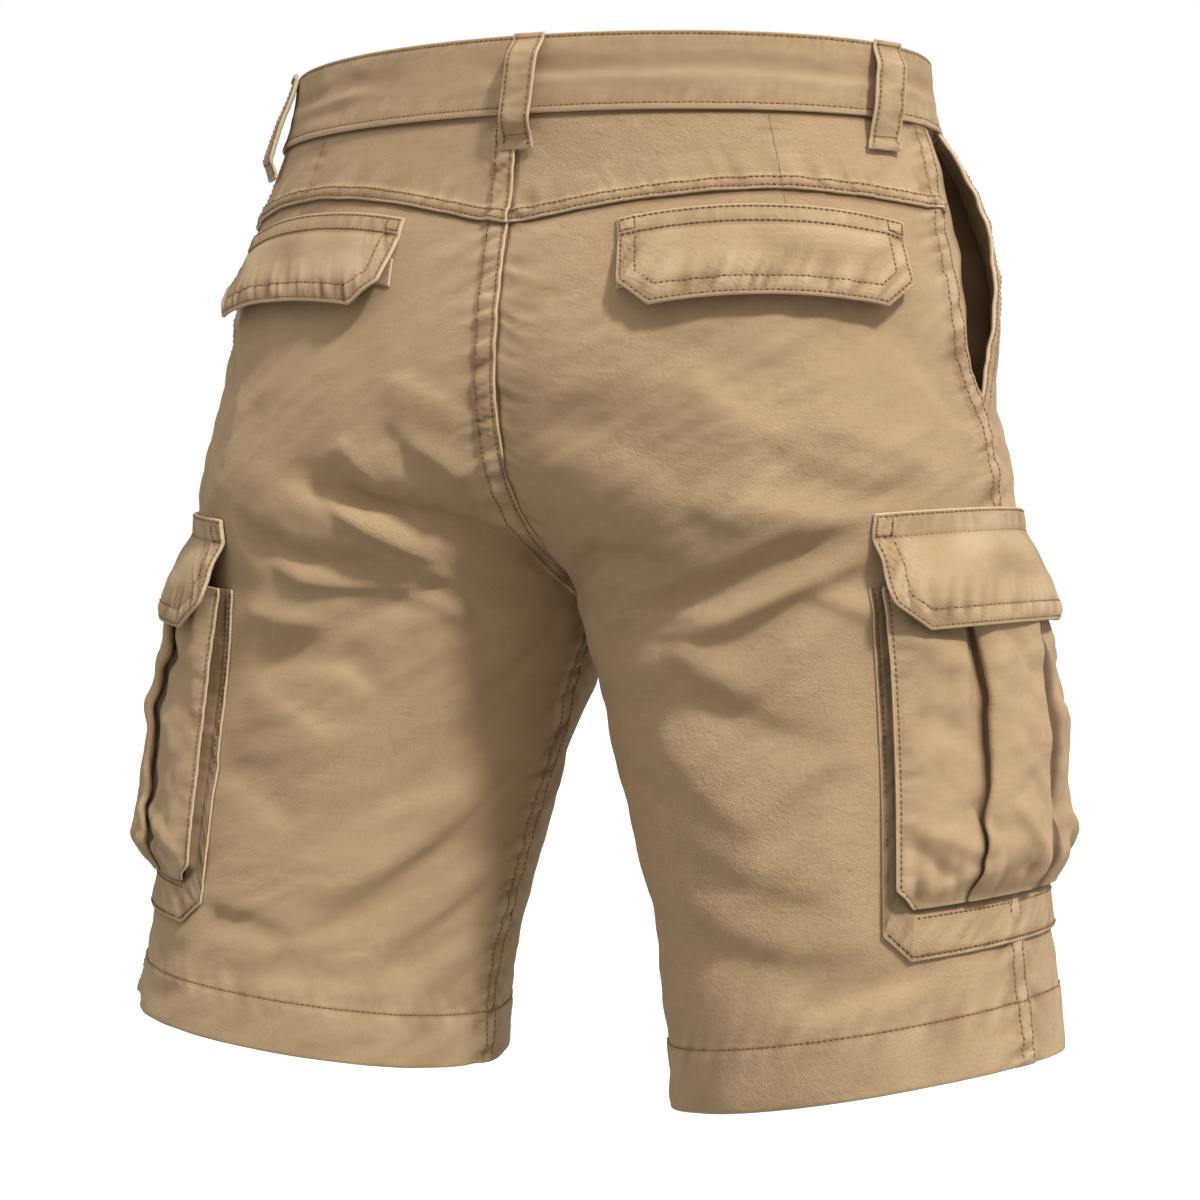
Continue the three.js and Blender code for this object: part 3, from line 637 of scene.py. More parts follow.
def front_spot(side, turn, level):
    pocket = smooth((level - MOUTH_FOOT + 3) / 5)
    lap = lap_of_front(side, level)
    mouth = arc(level, turn) - front_edge(level)
    centre = arc(level, 180 + 0 * level) - arc(level, turn) + mix(-0.25, LAP, lap)
    strip_mouth = strip_along(mouth, 11) * pocket
    strip_centre = strip_along(centre) * lap
    strip = np.maximum(strip_mouth, strip_centre)
    crest = pucker(level, mouth, 51 + side, pitch=12, strip=4.8, strength=0.4)
    crest = crest + pucker(level, centre, 55 + side) * mix(0.4, 1, lap)
    crest = crest + hem_ripples(turn, level, 59 + side)
    rows = (groove(mouth - EDGE_ROW) + groove(mouth - 8)) * pocket + groove(centre - EDGE_ROW) * lap
    rows = rows + groove(level - HEM_TOP + 1, 0.6)
    out = np.where(level > MOUTH_FOOT, gape(turn, level), 0)
    height = 1.1 * strip_mouth + FELL_RISE * strip_centre + 0.9 * hem_step(level)
    height = height + PUCKER_RELIEF * crest + rows + out
    # Painted shade: under darkens the cloth beneath the band and beside the pocket mouth, and the stitch
    # grooves (rows) are painted darker
    under = painted_shadow_under(BAND_BOTTOM - LAP - 0.6 - level) + painted_shadow_under(mouth - 1.7, 2.2, 1.0) * (1 - pocket)
    crest = crest + 2 * rows - under
    thick = np.maximum(mix(TWILL, 2.3, strip), mix(TWILL, DOUBLED, hem_step(level)))
    edge = np.minimum(np.where(pocket > 0.5, mouth, 40), np.where(lap > 0.5, centre, 40))
    edge = np.minimum(edge, level - HEM_LEVEL)
    uv = np.stack([arc(level, turn) - arc(level, 135 + 0 * level), level], axis=-1)
    return turn, level, height, thick, edge, crest, uv


def front_panel(side, name):
    base = panel_levels(BAND_BOTTOM - 0.3, [0, 0.8, 1.8, 3, 4.4])
    count = 86
    level = np.repeat(base[:, None], 2 * len(EDGE_GAPS) + count - 1, axis=1)
    lap = lap_of_front(side, base[:, None])
    gaps = np.array(EDGE_GAPS)[None, :]
    near = front_edge(base[:, None]) + gaps
    far = arc(base[:, None], 180 + 0 * base[:, None]) + mix(-0.25, LAP, lap) - gaps[:, ::-1]
    turn = turn_at(level, fill_between(near, far, count))
    return lay(name, side, front_spot(side, turn, level))


# Yokes, lapped over the back panels
YOKE_ROWS = (1.8, 5.8)
YOKE_GAPS = [0, 0.25, 0.6, 1.0, 1.4, 1.8, 2.4, 3.2, 4.2, 5.0, 5.8, 6.4, 7.0, 8.0, 9.5, 11.5, 15]


def yoke_spot(side, turn, level):
    lap = 1.0 if side > 0 else 0.0
    centre = arc(level, turn) + mix(-0.25, LAP, lap)
    seam = arc(level, side_seam(level)) + LAP - arc(level, turn)
    low = level - yoke_seam(side, turn) + LAP
    calm = smooth((-20 - level) / 5)
    strip_centre = strip_along(centre) * lap
    strip_seam = strip_along(seam)
    strip_low = strip_along(low, 8.2)
    raise_sides = FELL_RISE * np.maximum(strip_centre, strip_seam) * mix(0.25, 1, calm)
    crest = pucker(turn * CLOTH_PER_DEGREE, low, 71 + side, strip=3.6, strength=0.5)
    crest = crest + pucker(level, centre, 31 + side) * mix(0.4, 1, lap)
    crest = crest + pucker(level, seam, 35 + side, strength=0.8 if side < 0 else 0.3)
    dart = arc(level, turn) - arc(level, DART_TURN + 0 * level)
    crest = crest + 0.8 * noise(level / 4, dart / 20, 77) * bell(dart, 7)
    rows = groove(low - YOKE_ROWS[0]) + groove(low - YOKE_ROWS[1]) + fell_grooves(seam)
    rows = rows + fell_grooves(centre) * lap - 0.5 * dart_valley(turn, level)
    height = FELL_RISE * strip_low + raise_sides + (PUCKER_RELIEF * crest + rows) * calm
    height = height - (0.6 + 2.0 * strip_low) * smooth((0.2 - centre) / 0.6) * (1 - lap)
    # Painted shade: under darkens the cloth beneath the band and beside the centre-back lap, and the stitch
    # grooves (rows) are painted darker
    under = painted_shadow_under(BAND_BOTTOM - LAP - 0.6 - level)
    under = under + painted_shadow_under(centre - 1.7, 2.2, 1.0) * (1 - lap) * calm
    crest = (crest + 2 * rows + dart_valley(turn, level)) * calm - under
    thick = mix(TWILL, FELL_THICK, np.maximum(strip_low, np.maximum(strip_centre, strip_seam) * calm))
    edge = np.minimum(low, np.minimum(centre if lap else 40, seam))
    uv = np.stack([arc(level, turn) - arc(level, 45 + 0 * level), level], axis=-1)
    return turn, level, height, thick, edge, crest, uv


def yoke(side, name):
    top = BAND_BOTTOM - 0.3
    gaps = np.array(EDGE_GAPS)[None, :]
    count = 84
    downs = np.array(YOKE_GAPS)
    turn = np.full((1, 2 * len(EDGE_GAPS) + count - 1), 45.0)
    level = np.full(turn.shape, -45.0)
    upper = np.linspace(0, 1, 16)[:, None]
    for _ in range(3):
        low_line = yoke_seam(side, turn[-1:]) - LAP
        lower = low_line + downs[::-1, None]
        level = np.concatenate([mix(top, lower[:1], upper)[:-1], lower])
        if turn.shape[0] == 1:
            turn = np.repeat(turn, level.shape[0], axis=0)
        first = -LAP if side > 0 else -3.0
        near = first + gaps + 0 * level[:, :1]
        far = arc(level[:, -1:], side_seam(level[:, -1:])) + LAP - gaps[:, ::-1]
        turn = turn_at(level, fill_between(near, far, count))
    return lay(name, side, yoke_spot(side, turn, level))


# The cloth that shows in the mouth of the hand pocket
def hip_facing(side, name):
    base = np.linspace(BAND_BOTTOM - 0.3, -178, 76)[:, None]
    u = np.linspace(0, 1, 40)[None, :]
    seam = turn_by(base, side_seam(base), 0.25)
    opening = np.maximum(0, mouth_turn(base) - seam)
    turn = seam + u * (opening + 13)
    level = base + 0 * turn
    sunk = np.maximum(smooth((turn - seam) / np.maximum(1, opening * 0.8)), smooth(1.6 - opening / 3))
    crest = noise(level / 21, turn / 5, 91 + side)
    dive = smooth((turn - mouth_turn(base) + 3) / 4) * smooth(opening / 4) * smooth((level - MOUTH_FOOT) / 12)
    height = -2.4 * sunk - 10 * dive + 0.5 * crest * smooth((turn - seam) / 3)
    # Painted shade: the facing is painted darker towards the pocket mouth, where the gap lies in shadow
    dark = 2.4 * smooth((turn - mouth_turn(base) + 7) / 6) * smooth(opening / 3)
    inside = np.where(level > MOUTH_FOOT, gape(turn, level), 0) - 2.3
    height = mix(height, inside, smooth((turn - mouth_turn(base) - 7) / 5) * smooth(opening / 4))
    uv = np.stack([arc(level, turn), level], axis=-1)
    return lay(name, side, (turn, level, height, TWILL, np.full(level.shape, 40.0), crest * 0.4 - dark, uv))


# Waistband: one strip all round, lapped left over right at the centre front
def band_spot(way, level):
    low, top = level - BAND_BOTTOM + LAP, BAND_TOP - level
    under = smooth((-way - 150) / 22)
    run = way * CLOTH_PER_DEGREE
    middle = smooth(low / 9) * smooth(top / 9)
    sway = level + 4 + 3.5 * noise(run / 70, 0, 107)
    roll = smooth(0.65 + noise(run / 90, 0, 109)) * middle
    crest = 0.7 * noise(run / 50, level / 11, 101) * middle + 0.3 * noise(run / 14, level / 6, 103) * middle
    # A rolling fold along the band: a ridge with a trough below it, in height and in crest paint, where the
    # ridge is painted as highlight and the trough as painted shade
    crest = crest + (1.1 * bell(sway, 2.6) - 1.0 * bell(sway - 7, 4.5)) * roll
    by_rows = bell(low - 6, 5) + 0.7 * bell(top - 4, 4)
    crest = crest + 0.8 * noise((run + level * 0.5) / 3.9, level / 30, 105) * by_rows
    rows = groove(low - 3.4) + groove(top - 2)
    height = BAND_PROUD + 0.6 * smooth((5 - low) / 3) - (BAND_THICK + 0.3) * under
    height = height + (0.8 * crest + rows) * (1 - under)
    # Painted shade along the stitch grooves (rows)
    crest = 0.6 * crest + 1.4 * rows
    thick = mix(BAND_THICK, 1.9, smooth((3 - low) / 2))
    end = (184 - way) * CLOTH_PER_DEGREE
    edge = np.minimum(np.minimum(low, top), end)
    uv = np.stack([run, level + 0 * run], axis=-1)
    return height, thick, edge, crest, uv


def raised_all_round(way, level, height):
    wrapped = np.where(way > 180, way - 360, np.where(way < -180, way + 360, way))
    left, left_normal = raised(1, np.abs(wrapped), level, height)
    right, right_normal = raised(-1, np.abs(wrapped), level, height)
    is_left = (wrapped >= 0)[..., None]
    return np.where(is_left, left, right), np.where(is_left, left_normal, right_normal)


def waistband(name):
    lower = [BAND_BOTTOM - LAP + g for g in (0, 0.25, 0.6, 1, 1.6, 2.4, 3.4, 4.4, 5.6)]
    upper = [BAND_TOP - g for g in (4, 3, 2, 1.5, 1.1, 0.7, 0.35, 0.1, 0)]
    level = np.concatenate([lower, np.linspace(-12.5, 13.5, 15), upper])
    way = np.linspace(-193, 184, 700)
    way, level = np.broadcast_arrays(way[None, :], level[::-1, None])
    height, thick, edge, crest, uv = band_spot(way, level)
    half = half_thickness(thick, edge)
    outer, normal = raised_all_round(way, level, height - thick / 2 + half)
    inner = outer - normal * (2 * half)[..., None]
    return wall(name, outer, inner, uv, edge, crest)


# Belt loops
LOOP_WIDTH = 16
LOOP_TOP = 19
LOOP_FOOT = -38
LOOP_THICK = 2.2
# Name, side, turn of the top, turn of the foot, gap for a belt, where the bow rises and where it falls
LOOPS = [
    ("loop_back", -1, 2.3, 0.8, 8, 0.25, 0.25),
    ("loop_side_left", 1, 67, 64, 6, 0.6, 0.16),
    ("loop_side_right", -1, 72, 66.5, 7, 0.3, 0.42),
    ("loop_front_left", 1, 146, 147, 8, 0.3, 0.3),
    ("loop_front_right", -1, 146, 147, 8, 0.25, 0.35),
]


def loop_place(loop, across, down):
    name, _, top_turn, foot_turn, gap, rise, fall = loop
    v = down / (LOOP_TOP - LOOP_FOOT)
    level = LOOP_TOP - down + 0 * across
    bow = smooth(v / rise) * smooth((1 - v) / fall)
    seat = BAND_PROUD * smooth((level - BAND_BOTTOM + 4) / 3) + 0.6 + LOOP_THICK
    seat = seat + 1.3 * smooth((v - 0.915) / 0.02) + 0.9 * smooth((0.06 - v) / 0.02)
    height = mix(seat, BAND_PROUD + gap + LOOP_THICK, bow)
    edge = LOOP_WIDTH / 2 - np.abs(across)
    seed = 111 + LOOPS.index(loop)
    ripple = 0.2 if name == "loop_side_left" else 0.6
    crest = ripple * noise(down / 3.6, across / 9, seed) * smooth(edge / 2)
    crest = crest + 0.35 * noise(down / 12, across / 20, seed + 9)
    dent = -0.5 * bell(across, 3.2)
    height = height + crest + dent + groove(edge - 2, 0.4)
    # Painted shade along the groove of the edge stitch rows
    crest = crest - 0.7 * bell(edge - 2, 0.9)
    turn = turn_by(level, mix(top_turn, foot_turn, v), across * (1 + 0.1 * smooth((v - 0.915) / 0.02)))
    return turn, level, height, edge, crest


def loop_points(loop, across, down, extra=0.0):
    side = loop[1]
    turn, level, height, edge, crest = loop_place(loop, across, down)
    near, near_normal = raised(side, np.abs(turn), level, height + extra, stiff=True)
    far, far_normal = raised(-side, np.abs(turn), level, height + extra, stiff=True)
    own = (turn >= 0)[..., None]
    return np.where(own, near, far), np.where(own, near_normal, far_normal), edge, crest


def belt_loop(loop):
    half_width = [8.0, 7.75, 7.3, 6.8, 6.2, 5.4, 4, 2]
    across = np.array([-a for a in half_width] + [0] + half_width[::-1])
    length = LOOP_TOP - LOOP_FOOT
    ends = np.array([0, 0.3, 0.8, 1.5])
    down = np.concatenate([ends, np.linspace(2.4, length - 2.4, 46), length - ends[::-1]])
    across, down = np.broadcast_arrays(across[None, :], down[:, None])
    points, normal, edge, crest = loop_points(loop, across, down)
    edge = np.minimum(edge, np.minimum(down, length - down))
    half = half_thickness(LOOP_THICK, edge)
    outer = points - normal * (LOOP_THICK / 2 - half)[..., None]
    inner = points - normal * (LOOP_THICK / 2 + half)[..., None]
    uv = np.stack([across, down], axis=-1)
    return wall(loop[0], outer, inner, uv, edge, crest)


# Back pocket flaps and the welts behind them
FLAP_INSET = 57
FLAP_WIDTH = 138
FLAP_TOP = -70
FLAP_HEIGHT = 47
FLAP_SLANT = 8
FLAP_CORNER = 14
FLAP_BAND = 9.5


def outline_distance(across, down, width, height, corner):
    to_foot = height - down
    left = np.minimum(across, (across + to_foot - corner) / math.sqrt(2))
    right = np.minimum(width - across, (width - across + to_foot - corner) / math.sqrt(2))
    return np.minimum(np.minimum(left, right), to_foot)


def flap_spot(side, across, down):
    sag = 7 * (2 * across / FLAP_WIDTH - 1) ** 2 - 3 - (5 if side > 0 else 0)
    flat_level = FLAP_TOP - down
    start = arc(flat_level, 0 * flat_level) + FLAP_INSET + FLAP_SLANT * down / FLAP_HEIGHT
    turn = turn_at(flat_level, start + across)
    level = flat_level - sag
    outline = outline_distance(across, down, FLAP_WIDTH, FLAP_HEIGHT, FLAP_CORNER)
    edge = np.minimum(outline, down)
    around = across + down * 0.8
    crest = pucker(around, outline, 121 + side, pitch=5.5, strip=5.4, strength=0.95)
    crest = crest + 0.7 * noise(across / 3.6, down / 30, 125 + side) * bell(down - 5, 4)
    crest = (crest + 0.9 * noise(across / 30, down / 18, 127 + side)) * mix(0.3, 1, smooth(outline / 4))
    rows = (groove(outline - 2) + groove(outline - 9)) * smooth((down - FLAP_BAND + 2) / 3)
    rows = rows + groove(down - FLAP_BAND, 0.8) + groove(down - 1.6, 0.3)
    body = smooth((down - 7) / 34)
    puff = 1.6 * bell(down - 16, 8) * smooth(outline / 12)
    height = 0.3 + DOUBLED + 8 * body + puff + 0.8 * crest * mix(0.6, 1, body) + rows
    # Painted shade in the stitch grooves (rows)
    crest = crest + 1.4 * rows
    uv = np.stack([across + 0 * down, -down + 0 * across], axis=-1)
    return turn, level, height, DOUBLED, edge, crest, uv


def flap_grid(width, height, corner, pitch=1.9):
    gaps = [0, 0.3, 0.7, 1.2, 2, 3, 4.4, 6.4, 8, 9, 10, 12]
    down = spread_between(0.0, height, [0, 0.3, 0.7, 1.2, 1.9, 3, 5, 8, 9, 10], gaps[:-1], pitch)
    flat = spread_between(0.0, width, gaps, gaps, pitch)
    cut = np.maximum(0, down - (height - corner))[:, None]
    across = cut + flat[None, :] / width * (width - 2 * cut)
    return across, np.broadcast_to(down[:, None], across.shape)


def back_flap(side, name):
    across, down = flap_grid(FLAP_WIDTH, FLAP_HEIGHT, FLAP_CORNER)
    return lay(name, side, flap_spot(side, across, down), stiff=True)


def back_welt(side, name):
    across = spread_between(0.0, FLAP_WIDTH - 12.0, ROLL_GAPS, ROLL_GAPS, 3)
    down = np.array([0, 0.4, 1, 3, 6, 9, 12, 13, 13.6, 14])
    across, down = np.broadcast_arrays(across[None, :], down[:, None])
    sag = 7 * (2 * across / (FLAP_WIDTH - 12) - 1) ** 2 - 3 - (5 if side > 0 else 0)
    level = FLAP_TOP - 20 - down - sag
    turn = turn_at(level, FLAP_INSET + 4 + across)
    edge = np.minimum(np.minimum(across, FLAP_WIDTH - 12 - across), np.minimum(down, 14 - down))
    uv = np.stack([across, -down], axis=-1)
    return lay(name, side, (turn, level, 0.4 + TWILL + 0 * down, TWILL, edge, 0 * down, uv), stiff=True)


# Cargo pockets. Across is measured forwards from the back edge, and down from the top edge.
CARGO_WIDTH = 160
CARGO_TOP = -221
CARGO_HEIGHT = 205
CARGO_MOUTH = 36
GUSSET_SIDE = 6
GUSSET_FOOT = 23
GUSSET_LIFT = 8
FACE_FOOT = CARGO_HEIGHT - GUSSET_FOOT
PLEAT_FIRST = 45
PLEAT_SECOND = 84
PLEAT_TUCK = 9
PLEAT_PITCH = 2


def on_cargo(side, across, down):
    level = CARGO_TOP - down + 0 * across
    turn = turn_by(level, cargo_back_edge(level) - 3 * side, across + 0 * down)
    return turn, level


def gusset_lift(across, down):
    from_side = np.minimum(across, CARGO_WIDTH - across) - GUSSET_SIDE
    foot = smooth((down - FACE_FOOT + 16) / 15) * smooth(from_side / 9)
    return mix(5, GUSSET_LIFT, smooth((down - CARGO_MOUTH) / 40)) - 4.6 * foot


def cargo_gusset(side, name):
    w, h, m = CARGO_WIDTH, CARGO_HEIGHT, CARGO_MOUTH
    outside = [(0, m), (0, h - 13), (13, h)]
    outside += [(w - x, y) for x, y in outside[::-1]]
    inside = [(7.5, m), (7.5, FACE_FOOT - 10), (15, FACE_FOOT - 1.5)]
    inside += [(w - x, y) for x, y in inside[::-1]]
    key = np.array([0, 78, 88, 158, 168, 246])
    at = np.arange(247)
    out_x, out_y = (np.interp(at, key, [p[i] for p in outside]) for i in range(2))
    in_x, in_y = (np.interp(at, key, [p[i] for p in inside]) for i in range(2))
    reach = np.hypot(out_x - in_x, out_y - in_y)
    v = np.concatenate([[0, 0.02, 0.05, 0.09, 0.14], np.linspace(0.2, 1, 15)])
    across = mix(out_x[None, :], in_x[None, :], v[:, None])
    down = mix(out_y[None, :], in_y[None, :], v[:, None])
    from_out, to_in = v[:, None] * reach[None, :], (1 - v[:, None]) * reach[None, :]
    turn, level = on_cargo(side, across, down)
    run = across + down
    crest = noise(run / 3.8, from_out / 20, 131 + side) * bell(from_out - 7, 9) * smooth(reach[None, :] / 20)
    # Painted shade: darker along the stitch row groove and where the gusset dives under the face's edge
    crest = crest - 0.8 * bell(from_out - 2.2, 0.9) - 1.7 * smooth((4.5 - to_in) / 3)
    crest = crest + 0.5 * noise(run / 9, from_out / 9, 133 + side)
    rise = smooth((3.4 - to_in) / 3.2)
    height = 0.4 + TWILL + 0.8 * smooth((reach[None, :] - 12) / 8) + 0.6 * crest
    height = mix(height, gusset_lift(across, down), rise)
    # Painted shade where the gusset narrows at its ends, under the face
    crest = crest - 0.9 * smooth((12 - reach[None, :]) / 3)
    edge = from_out + 0 * height
    passed = np.concatenate([[0], np.cumsum(np.hypot(np.diff(out_x), np.diff(out_y)))])
    uv = np.stack([passed + 0 * across, -from_out - 6 * rise], axis=-1)
    return lay(name, side, (turn, level, height, 1.5, edge, crest, uv), stiff=True)


# Folds on the pocket faces, by across and down in millimetres
FACE_FOLDS = [
    (13, 48, 47, 63, -2.6, 6, 0), (12, 60, 50, 92, 2.2, 8, 3), (47, 56, 47, 128, -4, 6, -3),
    (16, 96, 42, 118, -1.8, 7, 4), (15, 149, 48, 164, 2.4, 5, 0), (11, 154, 33, 174, -3, 5, 0),
    (40, 138, 50, 158, -2.4, 4, 0), (20, 176, 48, 168, 2, 4, 0), (58, 144, 76, 166, 2.2, 4, 0),
    (70, 128, 84, 157, -2.2, 5, 0), (60, 60, 76, 90, -1.6, 6, 3), (64, 168, 80, 176, -2, 4, 0),
    (96, 60, 122, 84, -2.4, 7, 0), (100, 100, 140, 124, 2, 8, 4), (92, 140, 112, 168, -2.8, 5, 0),
    (112, 150, 146, 166, 2.2, 5, 0), (118, 164, 150, 176, -2.4, 4, 0), (124, 70, 148, 110, -1.8, 8, 3),
]


def face_lift(side, across, down):
    foot = FACE_FOOT - down
    from_side = np.minimum(across, CARGO_WIDTH - across) - GUSSET_SIDE
    ahead = smooth((across - PLEAT_SECOND - 2) / 13) * smooth((down - 50) / 26)
    crown = mix(11.5, 17.5, ahead * (1 - 0.6 * smooth((down - 105) / 55)))
    blouse = smooth((foot + 4) / 18) * smooth((from_side + 4) / 18)
    lift = gusset_lift(across, down) + 0.3 + TWILL / 2 + (crown - GUSSET_LIFT) * blouse
    lift = lift - 2 * smooth((60 - down) / 30) * blouse
    soft = 1.6 * noise(across / 26, down / 34, 141 + side) + 1.2 * noise(across / 10, down / 11, 143 + side)
    place = across if side < 0 else CARGO_WIDTH - across
    soft = soft + 1.25 * folds_at(FACE_FOLDS, place + 0 * down, down + 0 * across)
    gather = 1.6 * noise(across / 5.5, down / 40, 145 + side) * bell(foot - 6, 17)
    slump = 0.6 * bell(foot - 24, 15) * smooth(from_side / 14)
    return lift + soft * blouse + gather * smooth(foot / 5) + slump


def cargo_face(side, name):
    a, b, tuck, p = PLEAT_FIRST, PLEAT_SECOND, PLEAT_TUCK, PLEAT_PITCH
    start = GUSSET_SIDE - 1.5
    section = [(x, 0) for x in (start, start + 3, 12, 22, 32, 42, a - 3, a + 4, a + tuck)]
    section += [(a + tuck + p / 2, 0.5), (a + tuck, 1), (a + 4, 1), (a, 1), (a - p / 2, 1.5)]
    section += [(x, 2) for x in (a, a + 5, a + 14, (a + b) / 2)]
    section += [(a + b - x, ply) for x, ply in section[-2:0:-1] if x > a - 4]
    section += [(x, 0) for x in (b + 12, b + 22, b + 34, b + 46, CARGO_WIDTH - 9, CARGO_WIDTH - start)]
    line = np.array(section, float)
    for _ in range(2):
        cut = [mix(line[:-1], line[1:], share) for share in (0.25, 0.75)]
        line = np.concatenate([line[:1], np.stack(cut, axis=1).reshape(-1, 2), line[-1:]])
    run = np.concatenate([[0], np.cumsum(np.hypot(np.diff(line[:, 0]), np.diff(line[:, 1] * p)))])
    gaps = [0, 0.25, 0.6, 1, 1.6, 2.3, 3]
    stations = spread_between(0.0, run[-1], gaps, gaps, 1.25)
    across0 = np.interp(stations, run, line[:, 0])[None, :]
    ply = np.interp(stations, run, line[:, 1])[None, :]
    down = spread_between(CARGO_MOUTH, FACE_FOOT, [0, 0.4, 1, 2, 4], [0, 0.3, 0.7, 1.3, 2, 3], 2.1)[:, None]
    from_start, from_end = stations[None, :], (run[-1] - stations)[None, :]
    t = (down - CARGO_MOUTH) / (FACE_FOOT - CARGO_MOUTH)
    belly = np.sin(math.pi * np.clip(t, 0, 1) ** 0.9)
    open_first = 1 + 0.7 * belly + 0.3 * noise(down / 22, 0, 151 + side)
    sway_first = 5.0 * np.sin(math.pi * t) - 4.0 * smooth((t - 0.55) / 0.3)
    sway_first = sway_first + 0.9 * noise(down / 26, 0, 153 + side)
    sway_second = 3.0 * np.sin(math.pi * t) + 0.9 * noise(down / 24, 0, 155 + side) - 2 * t
    across = across0 + sway_first * bell(across0 - a - 3, 17) + sway_second * bell(across0 - b + 3, 17)
    cut = np.maximum(0, 9 - FACE_FOOT + down)
    across = across + cut * (bell(from_start, 12) - bell(from_end, 12))
    stack = ply * p * open_first * mix(1, 0.35, smooth((t - 0.95) / 0.05))
    height = face_lift(side, across, down) + stack
    edge = np.minimum(np.minimum(from_start, from_end), down - CARGO_MOUTH) + 0 * height
    by_sides = bell(across - 9, 5) + bell(CARGO_WIDTH - 9 - across, 5)
    crest = noise((down + 0 * across) / 3.8, across / 20, 157 + side) * by_sides
    crest = crest + noise(across / 5.5, down / 40, 145 + side) * bell(FACE_FOOT - down - 6, 14)
    # Painted shade beside the pleat folds, where the cloth lies under the fold edges
    shade_under_first = (across0 < a + 4) * (ply < 0.3) * bell(across0 - a + 0.5, 2.2)
    shade_under_second = (across0 > b) * (ply < 0.3) * bell(across0 - b - 10, 4.5)
    crest = crest - (2.2 * shade_under_first + 2.4 * shade_under_second) * smooth((t + 0.1) / 0.2)
    height = height + 0.6 * np.maximum(crest, -1)
    height = height + groove(from_start - 2.4, 0.4) + groove(from_end - 2.4, 0.4)
    turn, level = on_cargo(side, across, down + 0 * across)
    middle = raised(side, turn, level, height, stiff=True)[0]
    along = np.gradient(middle, axis=1)
    downward = np.gradient(middle, axis=0)
    facing = np.cross(along, downward) * side
    facing /= np.maximum(np.linalg.norm(facing, axis=-1, keepdims=True), 1e-6)
    half = np.maximum(TWILL / 2 * rolled(edge, 0.9), THINNEST)[..., None]
    run_uv = np.broadcast_to(from_start, height.shape)
    uv = np.stack([run_uv, -down + 0 * run_uv], axis=-1)
    piece = wall(name, middle + facing * half, middle - facing * half, uv, edge, crest)
    for station in (2.4, run[-1] - 2.4):
        column = int(np.argmin(np.abs(stations - station)))
        sew("pocket", middle[2:-2, column] + facing[2:-2, column] * 0.7, facing[2:-2, column])
    return piece


FLAP_INSETS = curve_of([0, 13, 24, 36, 47, 57], [-3, -3, 1, 4, 7, 9])
FLAP_LIFTS = curve_of([0, 13, 24, 36, 47, 57], [3.2, 4.2, 10.5, 15.5, 18.5, 20])
CARGO_FLAP_WIDTH = CARGO_WIDTH + 6
CARGO_FLAP_HEIGHT = 57
CARGO_FLAP_CORNER = 13
CARGO_FLAP_BAND = 14


def cargo_flap_spot(side, across, down):
    inset = FLAP_INSETS(down)
    place = inset + across / CARGO_FLAP_WIDTH * (CARGO_WIDTH - 2 * inset)
    turn, level = on_cargo(side, place, down)
    outline = outline_distance(across, down, CARGO_FLAP_WIDTH, CARGO_FLAP_HEIGHT, CARGO_FLAP_CORNER)
    edge = np.minimum(outline, down)
    crest = pucker(across + down * 0.8, outline, 161 + side, pitch=5.5, strip=5.4, strength=0.95)
    crest = crest + 0.9 * noise(across / 3.8, down / 30, 165 + side) * bell(down - 7, 5)
    crest = (crest + 1.2 * noise(across / 34, down / 20, 167 + side)) * mix(0.2, 1, smooth(outline / 5))
    rows = (groove(outline - 2) + groove(outline - 9.5)) * smooth((down - CARGO_FLAP_BAND + 2) / 3)
    rows = rows + groove(down - CARGO_FLAP_BAND + 1.5, 0.7) + groove(down - 1.8, 0.3)
    height = FLAP_LIFTS(down) + 0.8 * crest + rows
    # Painted shade in the stitch grooves (rows)
    crest = crest + 1.4 * rows
    uv = np.stack([across + 0 * down, -down + 0 * across], axis=-1)
    return turn, level, height, DOUBLED, edge, crest, uv


def cargo_flap(side, name):
    across, down = flap_grid(CARGO_FLAP_WIDTH, CARGO_FLAP_HEIGHT, CARGO_FLAP_CORNER)
    return lay(name, side, cargo_flap_spot(side, across, down), stiff=True)


BUTTON_RADIUS = 8.5
BUTTON_DEPTH = 2.4
HOLE_PLACES = (-1.5, 1.5)


